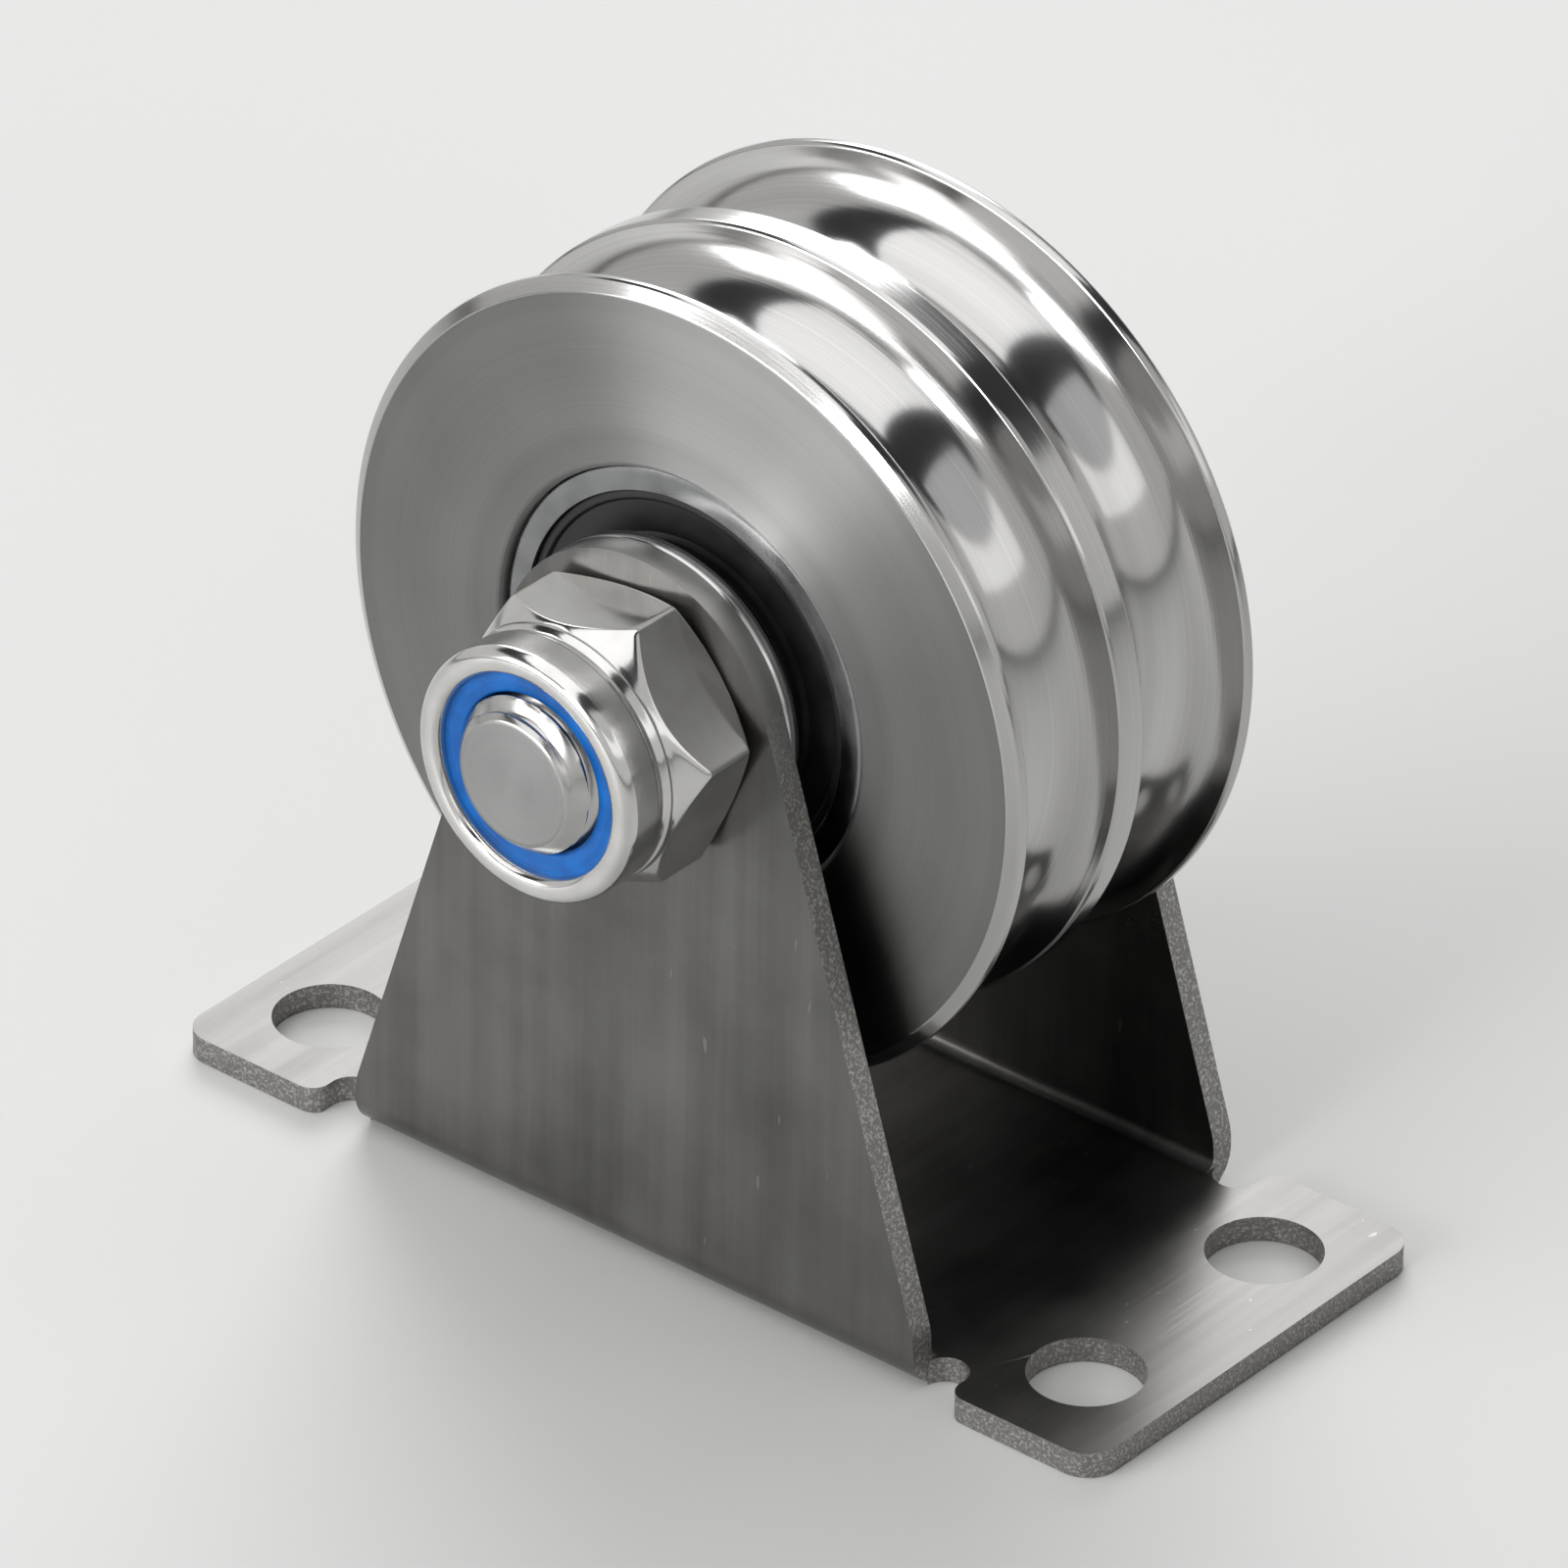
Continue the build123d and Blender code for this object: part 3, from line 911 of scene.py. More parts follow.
@dataclass
class GroovedWheel:
    """The wheel, turned from one piece."""

    rim_r: float = 30.0
    land_r: float = 29.5
    half_width: float = 13.3
    groove_r: float = 5.3
    groove_y: float = 6.575
    groove_depth: float = 5.5
    lip_r: float = 0.35
    rim_radial: float = 1.0
    rim_axial: float = 0.65
    seat_r: float = 16.01
    seat_end_y: float = 2.8
    seat_chamfer: float = 0.35
    shoulder_r: float = 13.75
    edge_break: float = 0.12
    smooth_deg: float = 24.0
    steps: int = 224

    def lip(self, edge_r: float, side: int, outward: bool) -> tuple[list[Point], float]:
        """Rounding between a land and a groove.

        Args:
            edge_r: Radius of the land.
            side: Which groove, by the sign of its Y.
            outward: Whether the land is on the outer side of the groove.

        Returns:
            The points of the rounding from the land to the groove, and the groove's angle where they meet.
        """
        centre_r = self.rim_r - self.groove_depth + self.groove_r
        lip_centre_r = edge_r - self.lip_r
        reach = self.groove_r + self.lip_r
        offset = math.sqrt(reach**2 - (lip_centre_r - centre_r) ** 2)
        away = side if outward else -side
        lip_y = side * self.groove_y + away * offset
        meet = math.degrees(math.atan2(away * -offset, centre_r - lip_centre_r))
        points = arc((lip_centre_r, lip_y), self.lip_r, 0, meet, 5)
        angle = math.degrees(math.atan2(away * offset, lip_centre_r - centre_r))
        return points, angle

    def groove(self, side: int) -> list[Point]:
        """Points of one groove from its land at lower Y to its land at higher Y, lips included.

        Args:
            side: Which groove, by the sign of its Y.

        Returns:
            The points.
        """
        centre = (self.rim_r - self.groove_depth + self.groove_r, side * self.groove_y)
        low_is_outer = side < 0
        low, low_angle = self.lip(self.rim_r if low_is_outer else self.land_r, side, low_is_outer)
        high, high_angle = self.lip(self.land_r if low_is_outer else self.rim_r, side, not low_is_outer)
        start = low_angle % 360
        end = high_angle % 360
        return low + arc(centre, self.groove_r, start, end, 30)[1:-1] + high[::-1]

    def profile(self) -> list[Point]:
        """The wheel's section."""
        half, chamfer = self.half_width, self.seat_chamfer
        rim_inner = self.rim_r - self.rim_radial
        points: list[Point] = [(rim_inner, -half), (self.rim_r, -half + self.rim_axial)]
        points += self.groove(-1) + self.groove(1)
        points += [(self.rim_r, half - self.rim_axial), (rim_inner, half)]
        seat = [(self.seat_r + chamfer, half), (self.seat_r, half - chamfer)]
        seat += [(self.seat_r, self.seat_end_y), (self.shoulder_r, self.seat_end_y)]
        return points + seat + [(radius, -along) for radius, along in reversed(seat)]

    def zone(self, spot: Vector, _: Vector) -> int:
        """Whether a face is on the wheel's sides or inside, 0, or on its chamfers, lands or grooves, 1."""
        radius = off_axle(spot)
        on_chamfer = radius > self.rim_r - self.rim_radial
        outside = radius > self.seat_r + self.seat_chamfer
        return int(on_chamfer or (outside and abs(spot.y) < self.half_width - self.rim_axial))

    def build(self) -> bpy.types.Object:
        """Turn the wheel and dress its faces and grooves."""
        wheel = lathe("grooved_wheel", self.profile(), self.steps, self.smooth_deg)
        break_edges(wheel, self.edge_break, above_deg=20)
        tidy(wheel, self.smooth_deg)
        dress(wheel, [Finish.WHEEL_FACE, Finish.GROOVE], self.zone)
        fit(wheel, "wheel", "turned_steel", "wheel")
        return wheel


@dataclass
class BallBearing:
    """One bearing: its outer ring and outer seal are made anew, and its inner pieces get their finishes."""

    end: End
    ring_r: float = 16.0
    width: float = 10.0
    shoulder_r: float = 12.9
    seat_r: float = 14.1
    seat_depth: float = 1.1
    ring_chamfer: float = 0.45
    seal_thickness: float = 0.85
    seal_play: float = 0.01
    bead_width: float = 0.62
    web_sink: float = 0.3
    lip_r: float = 9.4
    steps: int = 160

    def out(self, inward: float) -> float:
        """Place along the axle at a distance in from the bearing's outer face."""
        return self.end.value * (BEARING_FACE_Y - inward)

    def build_ring(self) -> bpy.types.Object:
        """Turn the outer ring, with a seat for a seal at each face."""
        c, w, d = self.ring_chamfer, self.width, self.seat_depth
        # The outer corner is a round one, which two flats stand for.
        bulge = c * 0.3
        corners = [
            (self.ring_r, self.out(c), 0.0),
            (self.ring_r - bulge, self.out(bulge), 0.0),
            (self.ring_r - c, self.out(0), 0.0),
            (self.seat_r, self.out(0), 0.12),
            (self.seat_r, self.out(d), 0.0),
            (self.shoulder_r, self.out(d), 0.0),
            (self.shoulder_r, self.out(w - d), 0.0),
            (self.seat_r, self.out(w - d), 0.0),
            (self.seat_r, self.out(w), 0.12),
            (self.ring_r - c, self.out(w), 0.0),
            (self.ring_r, self.out(w - c), 0.0),
        ]
        ring = lathe(f"{self.end.label}_bearing_ring", rounded(corners), self.steps)
        dress(ring, [Finish.RING])
        fit(ring, "wheel", "bearing_steel", f"{self.end.label}_outer_ring")
        return ring

    def build_seal(self) -> bpy.types.Object:
        """Turn the outer seal: a bead in the ring's seat, a dished web and a lip near the inner ring."""
        floor = self.seat_depth
        top = floor - self.seal_thickness
        bead = self.seat_r - self.seal_play
        web = self.out(top + self.web_sink)
        corners = [
            (bead, self.out(floor), 0.0),
            (bead, self.out(top + 0.1), 0.1),
            (bead - self.bead_width, self.out(top), 0.18),
            (bead - self.bead_width - 0.18, web, 0.08),
            (self.lip_r + 1.5, web, 0.2),
            (self.lip_r + 1.1, self.out(top + 0.1), 0.15),
            (self.lip_r + 0.5, self.out(top + 0.02), 0.15),
            (self.lip_r, self.out(top + 0.25), 0.1),
            (self.lip_r, self.out(floor), 0.0),
        ]
        seal = lathe(f"{self.end.label}_rubber_seal", rounded(corners, 3), self.steps, 40)
        dress(seal, [Finish.RUBBER])
        fit(seal, "wheel", "seal_rubber", f"{self.end.label}_outer_seal")
        return seal

    def dress_inside(self) -> None:
        """Give the pieces that stay as they are their finishes."""
        inside = {"inner_ring": Finish.RING, "inner_seal": Finish.RUBBER}
        inside |= {"cage": Finish.CAGE, "balls": Finish.BALL}
        for piece, finish in inside.items():
            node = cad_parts[f"{self.end.label}_{piece}"]
            dress(node, [finish])
            LOG.info("%s: finish %s", node.name, finish.value.name)

    def build(self) -> None:
        """Make and dress the bearing's pieces."""
        self.build_ring()
        self.build_seal()
        self.dress_inside()


@dataclass
class Spacer:
    """Turned spacer between an ear and a bearing's inner ring."""

    end: End
    flange_r: float = 12.0
    flange: float = 1.4
    boss_r: float = 8.5
    edge_r: float = 0.45
    steps: int = 128

    def build(self) -> bpy.types.Object:
        """Turn the spacer and dress it."""
        side = self.end.value
        outer, inner = side * EAR_INNER_Y, side * (EAR_INNER_Y - self.flange)
        corners = [
            (self.flange_r, outer, self.edge_r),
            (self.flange_r, inner, self.edge_r),
            (self.boss_r, inner, 0.0),
            (self.boss_r, side * BEARING_FACE_Y, 0.1),
            (BORE_R, side * BEARING_FACE_Y, 0.0),
            (BORE_R, outer, 0.0),
        ]
        spacer = lathe(f"{self.end.label}_turned_spacer", rounded(corners, 5), self.steps)
        dress(spacer, [Finish.SPACER])
        fit(spacer, "frame", "turned_steel", f"{self.end.label}_spacer")
        return spacer


def soft_min(one: float, other: float, blend: float) -> float:
    """The lesser of two lengths, with a rounded change from one to the other.

    Args:
        one: A length.
        other: Another length.
        blend: How near the two are where the rounding starts.

    Returns:
        The lesser, or a little less where they are near each other.
    """
    near = max(blend - abs(one - other), 0.0) / blend
    return min(one, other) - near * near * blend / 4


@dataclass(frozen=True)
class Hexagon:
    """Hexagonal part of a turned piece: first round, with coned ends, and then pressed flat on six sides."""

    across_flats: float
    face_r: float
    start_y: float
    end_y: float
    start_deg: float
    end_deg: float
    turn_deg: float
    edge_blend: float = 0.24
    row: float = 0.1

    def blank_r(self, along: float) -> float:
        """Radius of the round blank at a place along the axle. A cone of 0 degrees is none."""
        radius = self.across_flats / math.sqrt(3) + 0.1
        for end, cone in ((self.start_y, self.start_deg), (self.end_y, self.end_deg)):
            if cone:
                radius = min(radius, self.face_r + abs(along - end) / math.tan(math.radians(cone)))
        return radius

    def rows(self) -> list[Point]:
        """Profile of the blank from its start to its end."""
        count = round(abs(self.end_y - self.start_y) / self.row)
        places = [self.start_y + (self.end_y - self.start_y) * i / count for i in range(count + 1)]
        return [(self.blank_r(along), along) for along in places]

    def press(self, piece: bpy.types.Object) -> None:
        """Move the blank's outside in to its six flats.

        Args:
            piece: The turned piece that the blank is a part of.
        """
        low, high = sorted((self.start_y, self.end_y))
        for vertex in piece.data.vertices:
            spot = vertex.co * 1000
            radius = off_axle(spot)
            if radius < self.face_r - 0.01 or not low - 0.001 < spot.y < high + 0.001:
                continue
            angle = math.degrees(math.atan2(spot.x, spot.z - AXLE_HEIGHT)) - self.turn_deg
            past_corner = angle % 60
            goal = radius
            for middle in (30, -30, 90):
                flat = self.across_flats / 2 / math.cos(math.radians(past_corner - middle))
                goal = soft_min(flat, goal, self.edge_blend)
            set_radius(vertex, goal)


@dataclass
class LockNut:
    """Lock nut: a hexagon tapered to a necked collar, which is rolled in over a nylon ring."""

    across_flats: float = 19.4
    hex_height: float = 7.4
    collar_height: float = 4.7
    turn_deg: float = 22.5
    face_inset: float = 0.3
    taper_deg: float = 52.0
    collar_r: float = 9.6
    neck_r: float = 1.0
    neck_depth: float = 0.25
    neck_from_hex: float = 0.9
    rim_r: float = 1.0
    mouth_r: float = 7.65
    mouth_round: float = 0.75
    lip: float = 0.95
    insert_r: float = 8.35
    insert_height: float = 3.0
    insert_play: float = 0.01
    bore_chamfer: float = 0.6
    smooth_deg: float = 36.0
    steps: int = 360

    @property
    def hex_end(self) -> float:
        """Place along the axle where the hexagon ends."""
        return -EAR_OUTER_Y - self.hex_height

    @property
    def rim_y(self) -> float:
        """Place of the collar's rim along the axle."""
        return self.hex_end - self.collar_height

    def collar(self) -> list[Point]:
        """Outside of the collar from the hexagon to the rim's inner wall."""
        neck_middle = (self.collar_r + self.neck_r - self.neck_depth, self.hex_end - self.neck_from_hex)
        half = math.degrees(math.acos((self.neck_r - self.neck_depth) / self.neck_r))
        points = [(self.collar_r, self.hex_end - 0.12)]
        points += arc(neck_middle, self.neck_r, 180 - half, 180 + half, 14)
        points += arc((self.collar_r - self.rim_r, self.rim_y + self.rim_r), self.rim_r, 0, -90, 16)
        mouth_middle = (self.mouth_r + self.mouth_round, self.rim_y + self.mouth_round)
        points += arc(mouth_middle, self.mouth_round, -90, -180, 12)
        return points

    def build_body(self) -> bpy.types.Object:
        """Turn the steel body and press its hexagon."""
        hexagon = Hexagon(
            self.across_flats,
            self.across_flats / 2 - self.face_inset,
            -EAR_OUTER_Y,
            self.hex_end,
            30.0,
            self.taper_deg,
            self.turn_deg,
        )
        under_lip = self.rim_y + self.lip
        pocket_end = under_lip + self.insert_height
        # The taper's last rows, which are narrower than the collar, give way to it.
        near_collar = self.hex_end + 0.3
        outside = [(r, y) for r, y in hexagon.rows() if y > near_collar or r > self.collar_r]
        profile = outside + self.collar()
        profile += [(self.mouth_r, under_lip), (self.insert_r, under_lip), (self.insert_r, pocket_end)]
        profile += [(BORE_R, pocket_end), (BORE_R, -EAR_OUTER_Y - self.bore_chamfer)]
        profile.append((BORE_R + self.bore_chamfer, -EAR_OUTER_Y))
        body = lathe("lock_nut_body", profile, self.steps, self.smooth_deg)
        hexagon.press(body)
        tidy(body, self.smooth_deg)
        dress(body, [Finish.NUT])
        fit(body, "frame", "fastener_steel", "lock_nut")
        return body

    def build_insert(self) -> bpy.types.Object:
        """Turn the nylon ring, whose bore is cut by the bolt's thread and stands up a little round it."""
        top = self.rim_y + self.lip
        bottom = top + self.insert_height
        outer_r = self.insert_r - self.insert_play
        corners = [
            (outer_r, top, 0.0),
            (outer_r, bottom, 0.0),
            (BORE_R, bottom, 0.0),
            (BORE_R, top, 0.3),
            (BORE_R + 0.9, top - 0.12, 0.3),
            (self.mouth_r - 0.3, top, 0.2),
        ]
        ring = lathe("nylon_ring", rounded(corners, 4), self.steps, 40)
        dress(ring, [Finish.NYLON])
        fit(ring, "frame", "blue_nylon", "nut_insert")
        return ring

    def build(self) -> None:
        """Make both pieces."""
        self.build_body()
        self.build_insert()


@dataclass
class AxleBolt:
    """Hexagon bolt, with its thread modelled where it comes out of the nut."""

    shank_r: float = 5.95
    root_r: float = 5.0
    end_flat_r: float = 4.7
    end_axial: float = 1.3
    end_y: float = -30.8
    pitch: float = 1.75
    thread_length: float = 14.0
    thread_turn: float = 0.65
    flank_slope: float = 2.7
    crest_flat: float = 0.12
    row: float = 0.11
    head_flats: float = 18.0
    head_height: float = 7.5
    head_inset: float = 0.4
    head_turn: float = 10.0
    smooth_deg: float = 30.0
    steps: int = 288

    def crest(self, depth: float, angle: float) -> float:
        """Radius of the thread at a place.

        Args:
            depth: Distance in from the bolt's end.
            angle: Angle round the axle in radians.

        Returns:
            The radius, held in by the chamfer at the bolt's end.
        """
        phase = (depth / self.pitch + angle / math.tau + self.thread_turn) % 1.0
        flank = min(1.0, max(0.0, abs(phase - 0.5) * self.flank_slope - self.crest_flat))
        thread = self.shank_r - (self.shank_r - self.root_r) * flank
        slope = (self.shank_r - self.end_flat_r) / self.end_axial
        return min(thread, self.end_flat_r + depth * slope)

    def build_thread(self, shaft: bpy.types.Object) -> None:
        """Move the rings at the bolt's end in and out to make the thread.

        Args:
            shaft: The plain shaft.
        """
        for vertex in shaft.data.vertices:
            spot = vertex.co * 1000
            depth = spot.y - self.end_y
            if off_axle(spot) < self.end_flat_r - 0.2 or depth > self.thread_length + 0.01:
                continue
            angle = math.atan2(spot.x, spot.z - AXLE_HEIGHT)
            fade = min(1.0, max(0.0, (self.thread_length - depth) / self.pitch))
            set_radius(vertex, self.shank_r + (self.crest(depth, angle) - self.shank_r) * fade)

    def zone(self, spot: Vector, normal: Vector) -> int:
        """Whether a face is on the shaft, 0, its flat end, 1, or the head, 2."""
        if spot.y > EAR_OUTER_Y:
            return 2
        return int(spot.y < self.end_y + 0.02 and normal.y < -0.9)

    def build(self) -> bpy.types.Object:
        """Turn the bolt, cut its thread and press its head."""
        rows = round(self.thread_length / self.row)
        head_end = EAR_OUTER_Y + self.head_height
        face_r = self.head_flats / 2 - self.head_inset
        head = Hexagon(self.head_flats, face_r, EAR_OUTER_Y, head_end, 0.0, 30.0, self.head_turn)
        profile: list[Point] = [(r, self.end_y) for r in (0.0, self.end_flat_r - 0.3, self.end_flat_r)]
        profile += [(self.shank_r, self.end_y + self.thread_length * i / rows) for i in range(1, rows + 1)]
        profile += [(self.shank_r, EAR_OUTER_Y)] + head.rows() + [(0.0, head_end)]
        bolt = lathe("axle_bolt_threaded", profile, self.steps, self.smooth_deg)
        self.build_thread(bolt)
        head.press(bolt)
        tidy(bolt, self.smooth_deg)
        dress(bolt, [Finish.BOLT, Finish.BOLT_END, Finish.NUT], self.zone)
        fit(bolt, "frame", "fastener_steel", "axle_bolt")
        return bolt


@dataclass
class FoldedBracket:
    """Base and ears, folded from one sheet and cut by laser."""

    length: float = 84.0
    width: float = 36.6
    corner_r: float = 2.5
    foot_width: float = 51.2
    bend_inner_r: float = 1.0
    bend_start_y: float = 14.8
    straight_foot: float = 1.2
    shoulder_r: float = 6.0
    ear_top_r: float = 12.0
    notch_width: float = 3.4
    notch_bottom_y: float = 14.6
    notch_mouth_r: float = 1.4
    hole_r: float = 4.25
    hole_x: float = 34.75
    hole_y: float = 10.0
    bolt_hole_r: float = 6.15
    edge_break: float = 0.24

    @property
    def bend_outer_r(self) -> float:
        """Outer radius of the bends."""
        return self.bend_inner_r + SHEET

    def channel(self) -> bpy.types.Object:
        """The folded channel: its section is drawn point by point, filled, and drawn out along X."""
        section: list[Point] = []
        for side in (1, -1):
            outer = arc((self.bend_start_y, self.bend_outer_r), self.bend_outer_r, -90, 0, 12)
            inner = arc((self.bend_start_y, self.bend_outer_r), self.bend_inner_r, 0, -90, 12)
            # The ears stand 2 mm too high here, and are cut to their outline later.
            top = AXLE_HEIGHT + self.ear_top_r + 2
            half = outer + [(EAR_OUTER_Y, top), (EAR_INNER_Y, top)] + inner
            section += [(y, z) for y, z in half] if side > 0 else [(-y, z) for y, z in half[::-1]]
        start_x = -m(self.foot_width / 2)
        piece = draw("bracket_channel", [Vector((start_x, m(y), m(z))) for y, z in section])
        bpy.ops.mesh.select_all(action="SELECT")
        bpy.ops.mesh.edge_face_add()
        bpy.ops.mesh.extrude_region_move(TRANSFORM_OT_translate={"value": (m(self.foot_width), 0, 0)})
        tidy(piece, 30)
        return piece

    def ear_block(self) -> bpy.types.Object:
        """Block with the ears' outline: the hull of their round top and their foot, with round shoulders."""
        block = new_primitive(
            "ear_block",
            bpy.ops.mesh.primitive_cylinder_add,
            vertices=192,
            radius=m(self.ear_top_r),
            depth=m(2 * self.width),
            location=(0, 0, m(AXLE_HEIGHT)),
            rotation=(math.pi / 2, 0, 0),
        )
        shoulder_z = self.bend_outer_r + self.straight_foot
        half_foot = self.foot_width / 2
        below = 4.0
        foot = new_primitive(
            "ear_foot",
            bpy.ops.mesh.primitive_cube_add,
            size=1,
            location=metres((0, 0, (shoulder_z - below) / 2)),
            scale=metres((self.foot_width, 2 * self.width, shoulder_z + below)),
        )
        activate(block)
        foot.select_set(True)
        bpy.ops.object.join()
        bpy.ops.object.mode_set(mode="EDIT")
        bpy.ops.mesh.select_all(action="SELECT")
        bpy.ops.mesh.convex_hull()
        bpy.ops.mesh.select_all(action="SELECT")
        bpy.ops.mesh.dissolve_limited(angle_limit=math.radians(0.2))

        def on_shoulder(edge: bpy.types.MeshEdge, mesh: bpy.types.Mesh) -> bool:
            """Whether an edge is one of the two long shoulder edges."""
            ends = edge_ends(edge, mesh)
            return all(abs(e.z - shoulder_z) < 0.05 and abs(abs(e.x) - half_foot) < 0.05 for e in ends)

        pick(block, "edges", on_shoulder)
        rise = AXLE_HEIGHT - shoulder_z
        lean = math.atan2(half_foot, rise)
        lean -= math.asin(self.ear_top_r / math.hypot(half_foot, rise))
        bpy.ops.mesh.bevel(offset=m(self.shoulder_r * math.tan(lean / 2)), segments=8, affect="EDGES")
        bpy.ops.object.mode_set(mode="OBJECT")
        return block

    def base(self) -> bpy.types.Object:
        """Flat base with rounded corners, relief notches and no middle beyond the bends."""
        plate = new_primitive(
            "base_plate",
            bpy.ops.mesh.primitive_cube_add,
            size=1,
            location=metres((0, 0, SHEET / 2)),
            scale=metres((self.length, self.width, SHEET)),
        )
        bpy.ops.object.mode_set(mode="EDIT")
        pick(plate, "edges", is_upright)
        bpy.ops.mesh.bevel(offset=m(self.corner_r), segments=10, affect="EDGES")
        bpy.ops.object.mode_set(mode="OBJECT")
        notch_x = (self.foot_width + self.notch_width) / 2
        notch_r = self.notch_width / 2
        centre_y = self.notch_bottom_y + notch_r
        # Each cutting block is 10 mm long, so that it reaches past the plate's edge.
        reach = 10.0
        for x in (-notch_x, notch_x):
            for side in (-1, 1):
                cut_hole(plate, (x, side * centre_y, SHEET / 2), notch_r, THROUGH_SHEET, 48)
                middle = (x, side * (centre_y + reach / 2), SHEET / 2)
                cut_block(plate, middle, (self.notch_width, reach, THROUGH_SHEET))
        for side in (-1, 1):
            middle = (0, side * (self.bend_start_y + reach / 2), SHEET / 2)
            cut_block(plate, middle, (self.foot_width + 0.02, reach, THROUGH_SHEET))
        flange_x = self.foot_width / 2 + self.notch_width
        activate(plate)
        bpy.ops.object.mode_set(mode="EDIT")

        def at_mouth(edge: bpy.types.MeshEdge, mesh: bpy.types.Mesh) -> bool:
            """Whether an edge is an upright one at the mouth of a notch."""
            end = edge_ends(edge, mesh)[0]
            at_side = abs(abs(end.y) - self.width / 2) < 0.02
            return is_upright(edge, mesh) and at_side and abs(abs(end.x) - flange_x) < 0.02

        pick(plate, "edges", at_mouth)
        bpy.ops.mesh.bevel(offset=m(self.notch_mouth_r), segments=8, affect="EDGES")
        bpy.ops.object.mode_set(mode="OBJECT")
        return plate

    def drill(self, bracket: bpy.types.Object) -> None:
        """Cut the four base holes and the bolt hole through both ears.

        Args:
            bracket: The folded bracket.
        """
        for x in (-self.hole_x, self.hole_x):
            for y in (-self.hole_y, self.hole_y):
                cut_hole(bracket, (x, y, SHEET / 2), self.hole_r, THROUGH_SHEET, 96)
        through_ears = 60.0
        cut_hole(bracket, (0, 0, AXLE_HEIGHT), self.bolt_hole_r, through_ears, 96, tilt=math.pi / 2)

    def zone(self, spot: Vector, normal: Vector) -> int:
        """Whether a face is the sheet's own surface, 0, or a cut edge, 1."""
        if spot.z > self.bend_outer_r:
            return int(abs(normal.y) < 0.7)
        if abs(spot.x) < self.foot_width / 2 + 0.05 and abs(spot.y) > self.bend_start_y - 0.05:
            return int(abs(normal.x) > 0.7)
        return int(abs(normal.z) < 0.7)

    def build(self) -> bpy.types.Object:
        """Fold, cut and drill the bracket and dress it."""
        bracket = self.channel()
        combine(bracket, self.ear_block(), "INTERSECT")
        combine(bracket, self.base(), "UNION")
        self.drill(bracket)
        bracket.name = "folded_bracket"
        activate(bracket)
        bpy.ops.object.mode_set(mode="EDIT")
        bpy.ops.mesh.select_all(action="SELECT")
        bpy.ops.mesh.remove_doubles(threshold=m(0.005))
        bpy.ops.mesh.dissolve_limited(angle_limit=math.radians(0.3))
        bpy.ops.object.mode_set(mode="OBJECT")
        break_edges(bracket, self.edge_break, 2, 40)
        tidy(bracket, 30)
        dress(bracket, [Finish.SHEET, Finish.CUT_EDGE], self.zone)
        fit(bracket, "frame", "sheet_steel", "bracket")
        return bracket


@dataclass(frozen=True)
class Lamp:
    """A soft box, placed from the pulley's middle, in metres, with its back to a direction."""

    name: str
    place: Spot
    back: Spot
    width: float
    height: float
    power: float

    def build(self, target: Vector) -> bpy.types.Object:
        """Hang the lamp.

        Args:
            target: The pulley's middle, in metres.

        Returns:
            The lamp.
        """
        light = bpy.data.lights.new(self.name, "AREA")
        light.shape = "RECTANGLE"
        light.size = self.width
        light.size_y = self.height
        light.energy = self.power
        lamp = bpy.data.objects.new(self.name, light)
        lamp.location = target + Vector(self.place)
        lamp.rotation_euler = Vector(self.back).to_track_quat("Z", "Y").to_euler()
        bpy.context.scene.collection.objects.link(lamp)
        return lamp


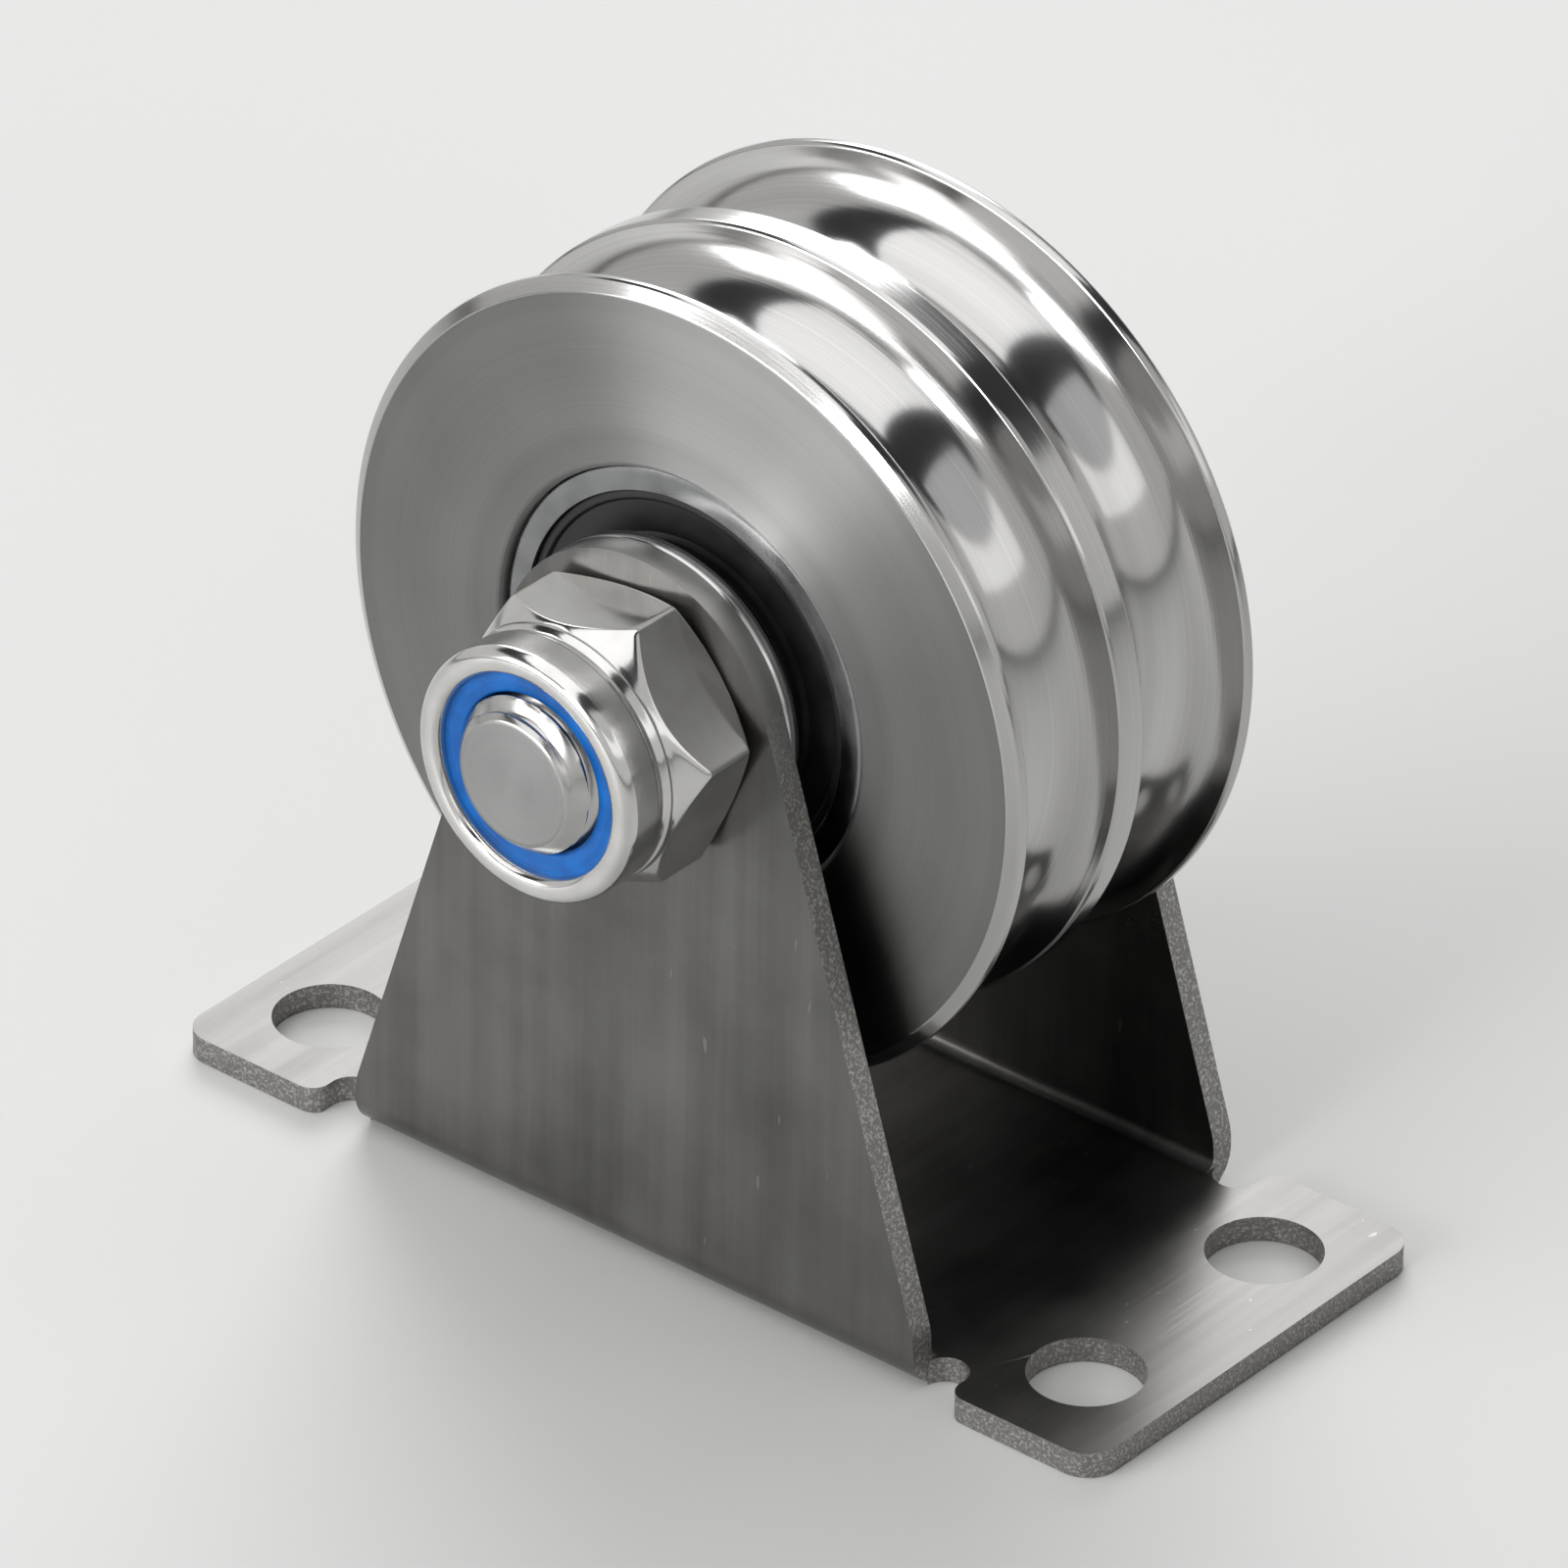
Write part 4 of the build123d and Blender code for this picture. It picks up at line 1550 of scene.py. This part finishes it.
@dataclass
class Studio:
    """Pale floor, soft lamps, world and camera.

    The camera's angles are in degrees, and its distance, target and lens in millimetres.
    """

    floor_colour: str = "#d6d6d5"
    dark_colour: str = "#3c3c3e"
    ambient: float = 0.04
    target: Spot = (0.0, 0.0, 0.035)
    camera_azimuth: float = 39.172
    camera_elevation: float = 31.936
    camera_roll: float = 0.905
    camera_distance: float = 1085.08
    camera_target: Spot = (-26.266, 30.699, 5.915)
    camera_lens: float = 340.51
    lamps: list[Lamp] = field(
        default_factory=lambda: [
            Lamp("overhead_soft_box", (-0.13, -0.14, 0.62), (0.0, 0.0, 1.0), 0.58, 1.25, 3.3),
            Lamp("rear_soft_box", (-0.42, 0.54, 0.43), (-0.53, 0.67, 0.53), 0.56, 0.42, 3.2),
            Lamp("front_soft_box", (-0.28, -0.66, 0.2), (-0.42, -0.86, 0.27), 0.56, 0.24, 3.1),
            Lamp("front_strip_box", (0.03, -0.72, 0.3), (0.04, -0.91, 0.38), 0.14, 0.34, 1.3),
            Lamp("right_soft_box", (0.6, -0.04, 0.49), (0.77, -0.05, 0.63), 1.3, 0.54, 1.3),
        ]
    )

    def build_floor(self) -> bpy.types.Object:
        """Lay the floor, a hair under the bracket so that the two don't share a face."""
        hair = m(0.05)
        floor = new_primitive("floor", bpy.ops.mesh.primitive_plane_add, size=6.0, location=(0, 0, -hair))
        material, tree, shader = new_material("matt_painted_floor")
        place = add_node(tree, "ShaderNodeTexCoord").outputs["Object"]
        clouds = add_node(
            tree, "ShaderNodeTexNoise", values={"Scale": 6.0, "Detail": 2.0}, links={"Vector": place}
        ).outputs["Fac"]
        rough = add_node(
            tree,
            "ShaderNodeMapRange",
            values={"From Min": 0.3, "From Max": 0.7, "To Min": 0.5, "To Max": 0.6},
            links={"Value": clouds},
        ).outputs["Result"]
        tree.links.new(rough, shader.inputs["Roughness"])
        shader.inputs["Base Color"].default_value = linear(self.floor_colour)
        floor.data.materials.append(material)
        return floor

    def build_world(self) -> None:
        """Set the world: pale low down and dark above for camera, metal and glass, and dim for the rest."""
        world = bpy.data.worlds.new("studio")
        bpy.context.scene.world = world
        world.use_nodes = True
        tree = world.node_tree
        tree.nodes.clear()
        rays = add_node(tree, "ShaderNodeLightPath").outputs
        seen = rays["Is Camera Ray"]
        for name in ("Is Glossy Ray", "Is Transmission Ray"):
            seen = add_node(
                tree, "ShaderNodeMath", {"operation": "MAXIMUM"}, links={0: seen, 1: rays[name]}
            ).outputs["Value"]
        place = add_node(tree, "ShaderNodeTexCoord").outputs["Generated"]
        up = add_node(tree, "ShaderNodeSeparateXYZ", links={"Vector": place}).outputs["Z"]
        rise = add_node(
            tree, "ShaderNodeMapRange", values={"From Min": 0.5, "From Max": 0.55}, links={"Value": up}
        ).outputs["Result"]
        walls = add_node(
            tree,
            "ShaderNodeMix",
            {"data_type": "RGBA"},
            {6: linear(self.floor_colour), 7: linear(self.dark_colour)},
            {0: rise},
        ).outputs[2]
        shown = add_node(tree, "ShaderNodeBackground", values={"Strength": 1.0}, links={"Color": walls})
        ambient = add_node(
            tree, "ShaderNodeBackground", values={"Color": linear("#ffffff"), "Strength": self.ambient}
        )
        mixed = add_node(
            tree,
            "ShaderNodeMixShader",
            links={0: seen, 1: ambient.outputs["Background"], 2: shown.outputs["Background"]},
        )
        add_node(tree, "ShaderNodeOutputWorld", links={"Surface": mixed.outputs["Shader"]})

    def build_camera(self) -> bpy.types.Object:
        """Set up the camera at the fitted place."""
        azimuth, elevation, roll = (
            math.radians(a) for a in (self.camera_azimuth, self.camera_elevation, self.camera_roll)
        )
        level = math.cos(elevation)
        back = Vector((math.sin(azimuth) * level, -math.cos(azimuth) * level, math.sin(elevation)))
        flat_right = Vector((math.cos(azimuth), math.sin(azimuth), 0))
        flat_up = back.cross(flat_right)
        right = flat_right * math.cos(roll) + flat_up * math.sin(roll)
        up = flat_up * math.cos(roll) - flat_right * math.sin(roll)
        lens = bpy.data.cameras.new("camera")
        lens.sensor_width = 36.0
        lens.lens = self.camera_lens
        lens.clip_start = 0.05
        lens.clip_end = 20.0
        camera = bpy.data.objects.new("camera", lens)
        place = Matrix((right, up, back)).transposed().to_4x4()
        place.translation = (Vector(self.camera_target) + back * self.camera_distance) / 1000
        camera.matrix_world = place
        bpy.context.scene.collection.objects.link(camera)
        bpy.context.scene.camera = camera
        return camera

    def build(self) -> None:
        """Set up floor, world, lamps and camera."""
        self.build_floor()
        self.build_world()
        for lamp in self.lamps:
            lamp.build(Vector(self.target))
        self.build_camera()
        bpy.context.scene.view_settings.view_transform = "Standard"


def main() -> None:
    """Build every sub-assembly in order, then the studio."""
    logging.basicConfig(level=logging.INFO, format="%(name)s: %(message)s")
    FoldedBracket().build()
    GroovedWheel().build()
    for end in End:
        BallBearing(end).build()
        Spacer(end).build()
    dress(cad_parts["centre_sleeve"], [Finish.SPACER])
    LockNut().build()
    AxleBolt().build()
    Studio().build()


if __name__ == "__main__":
    main()
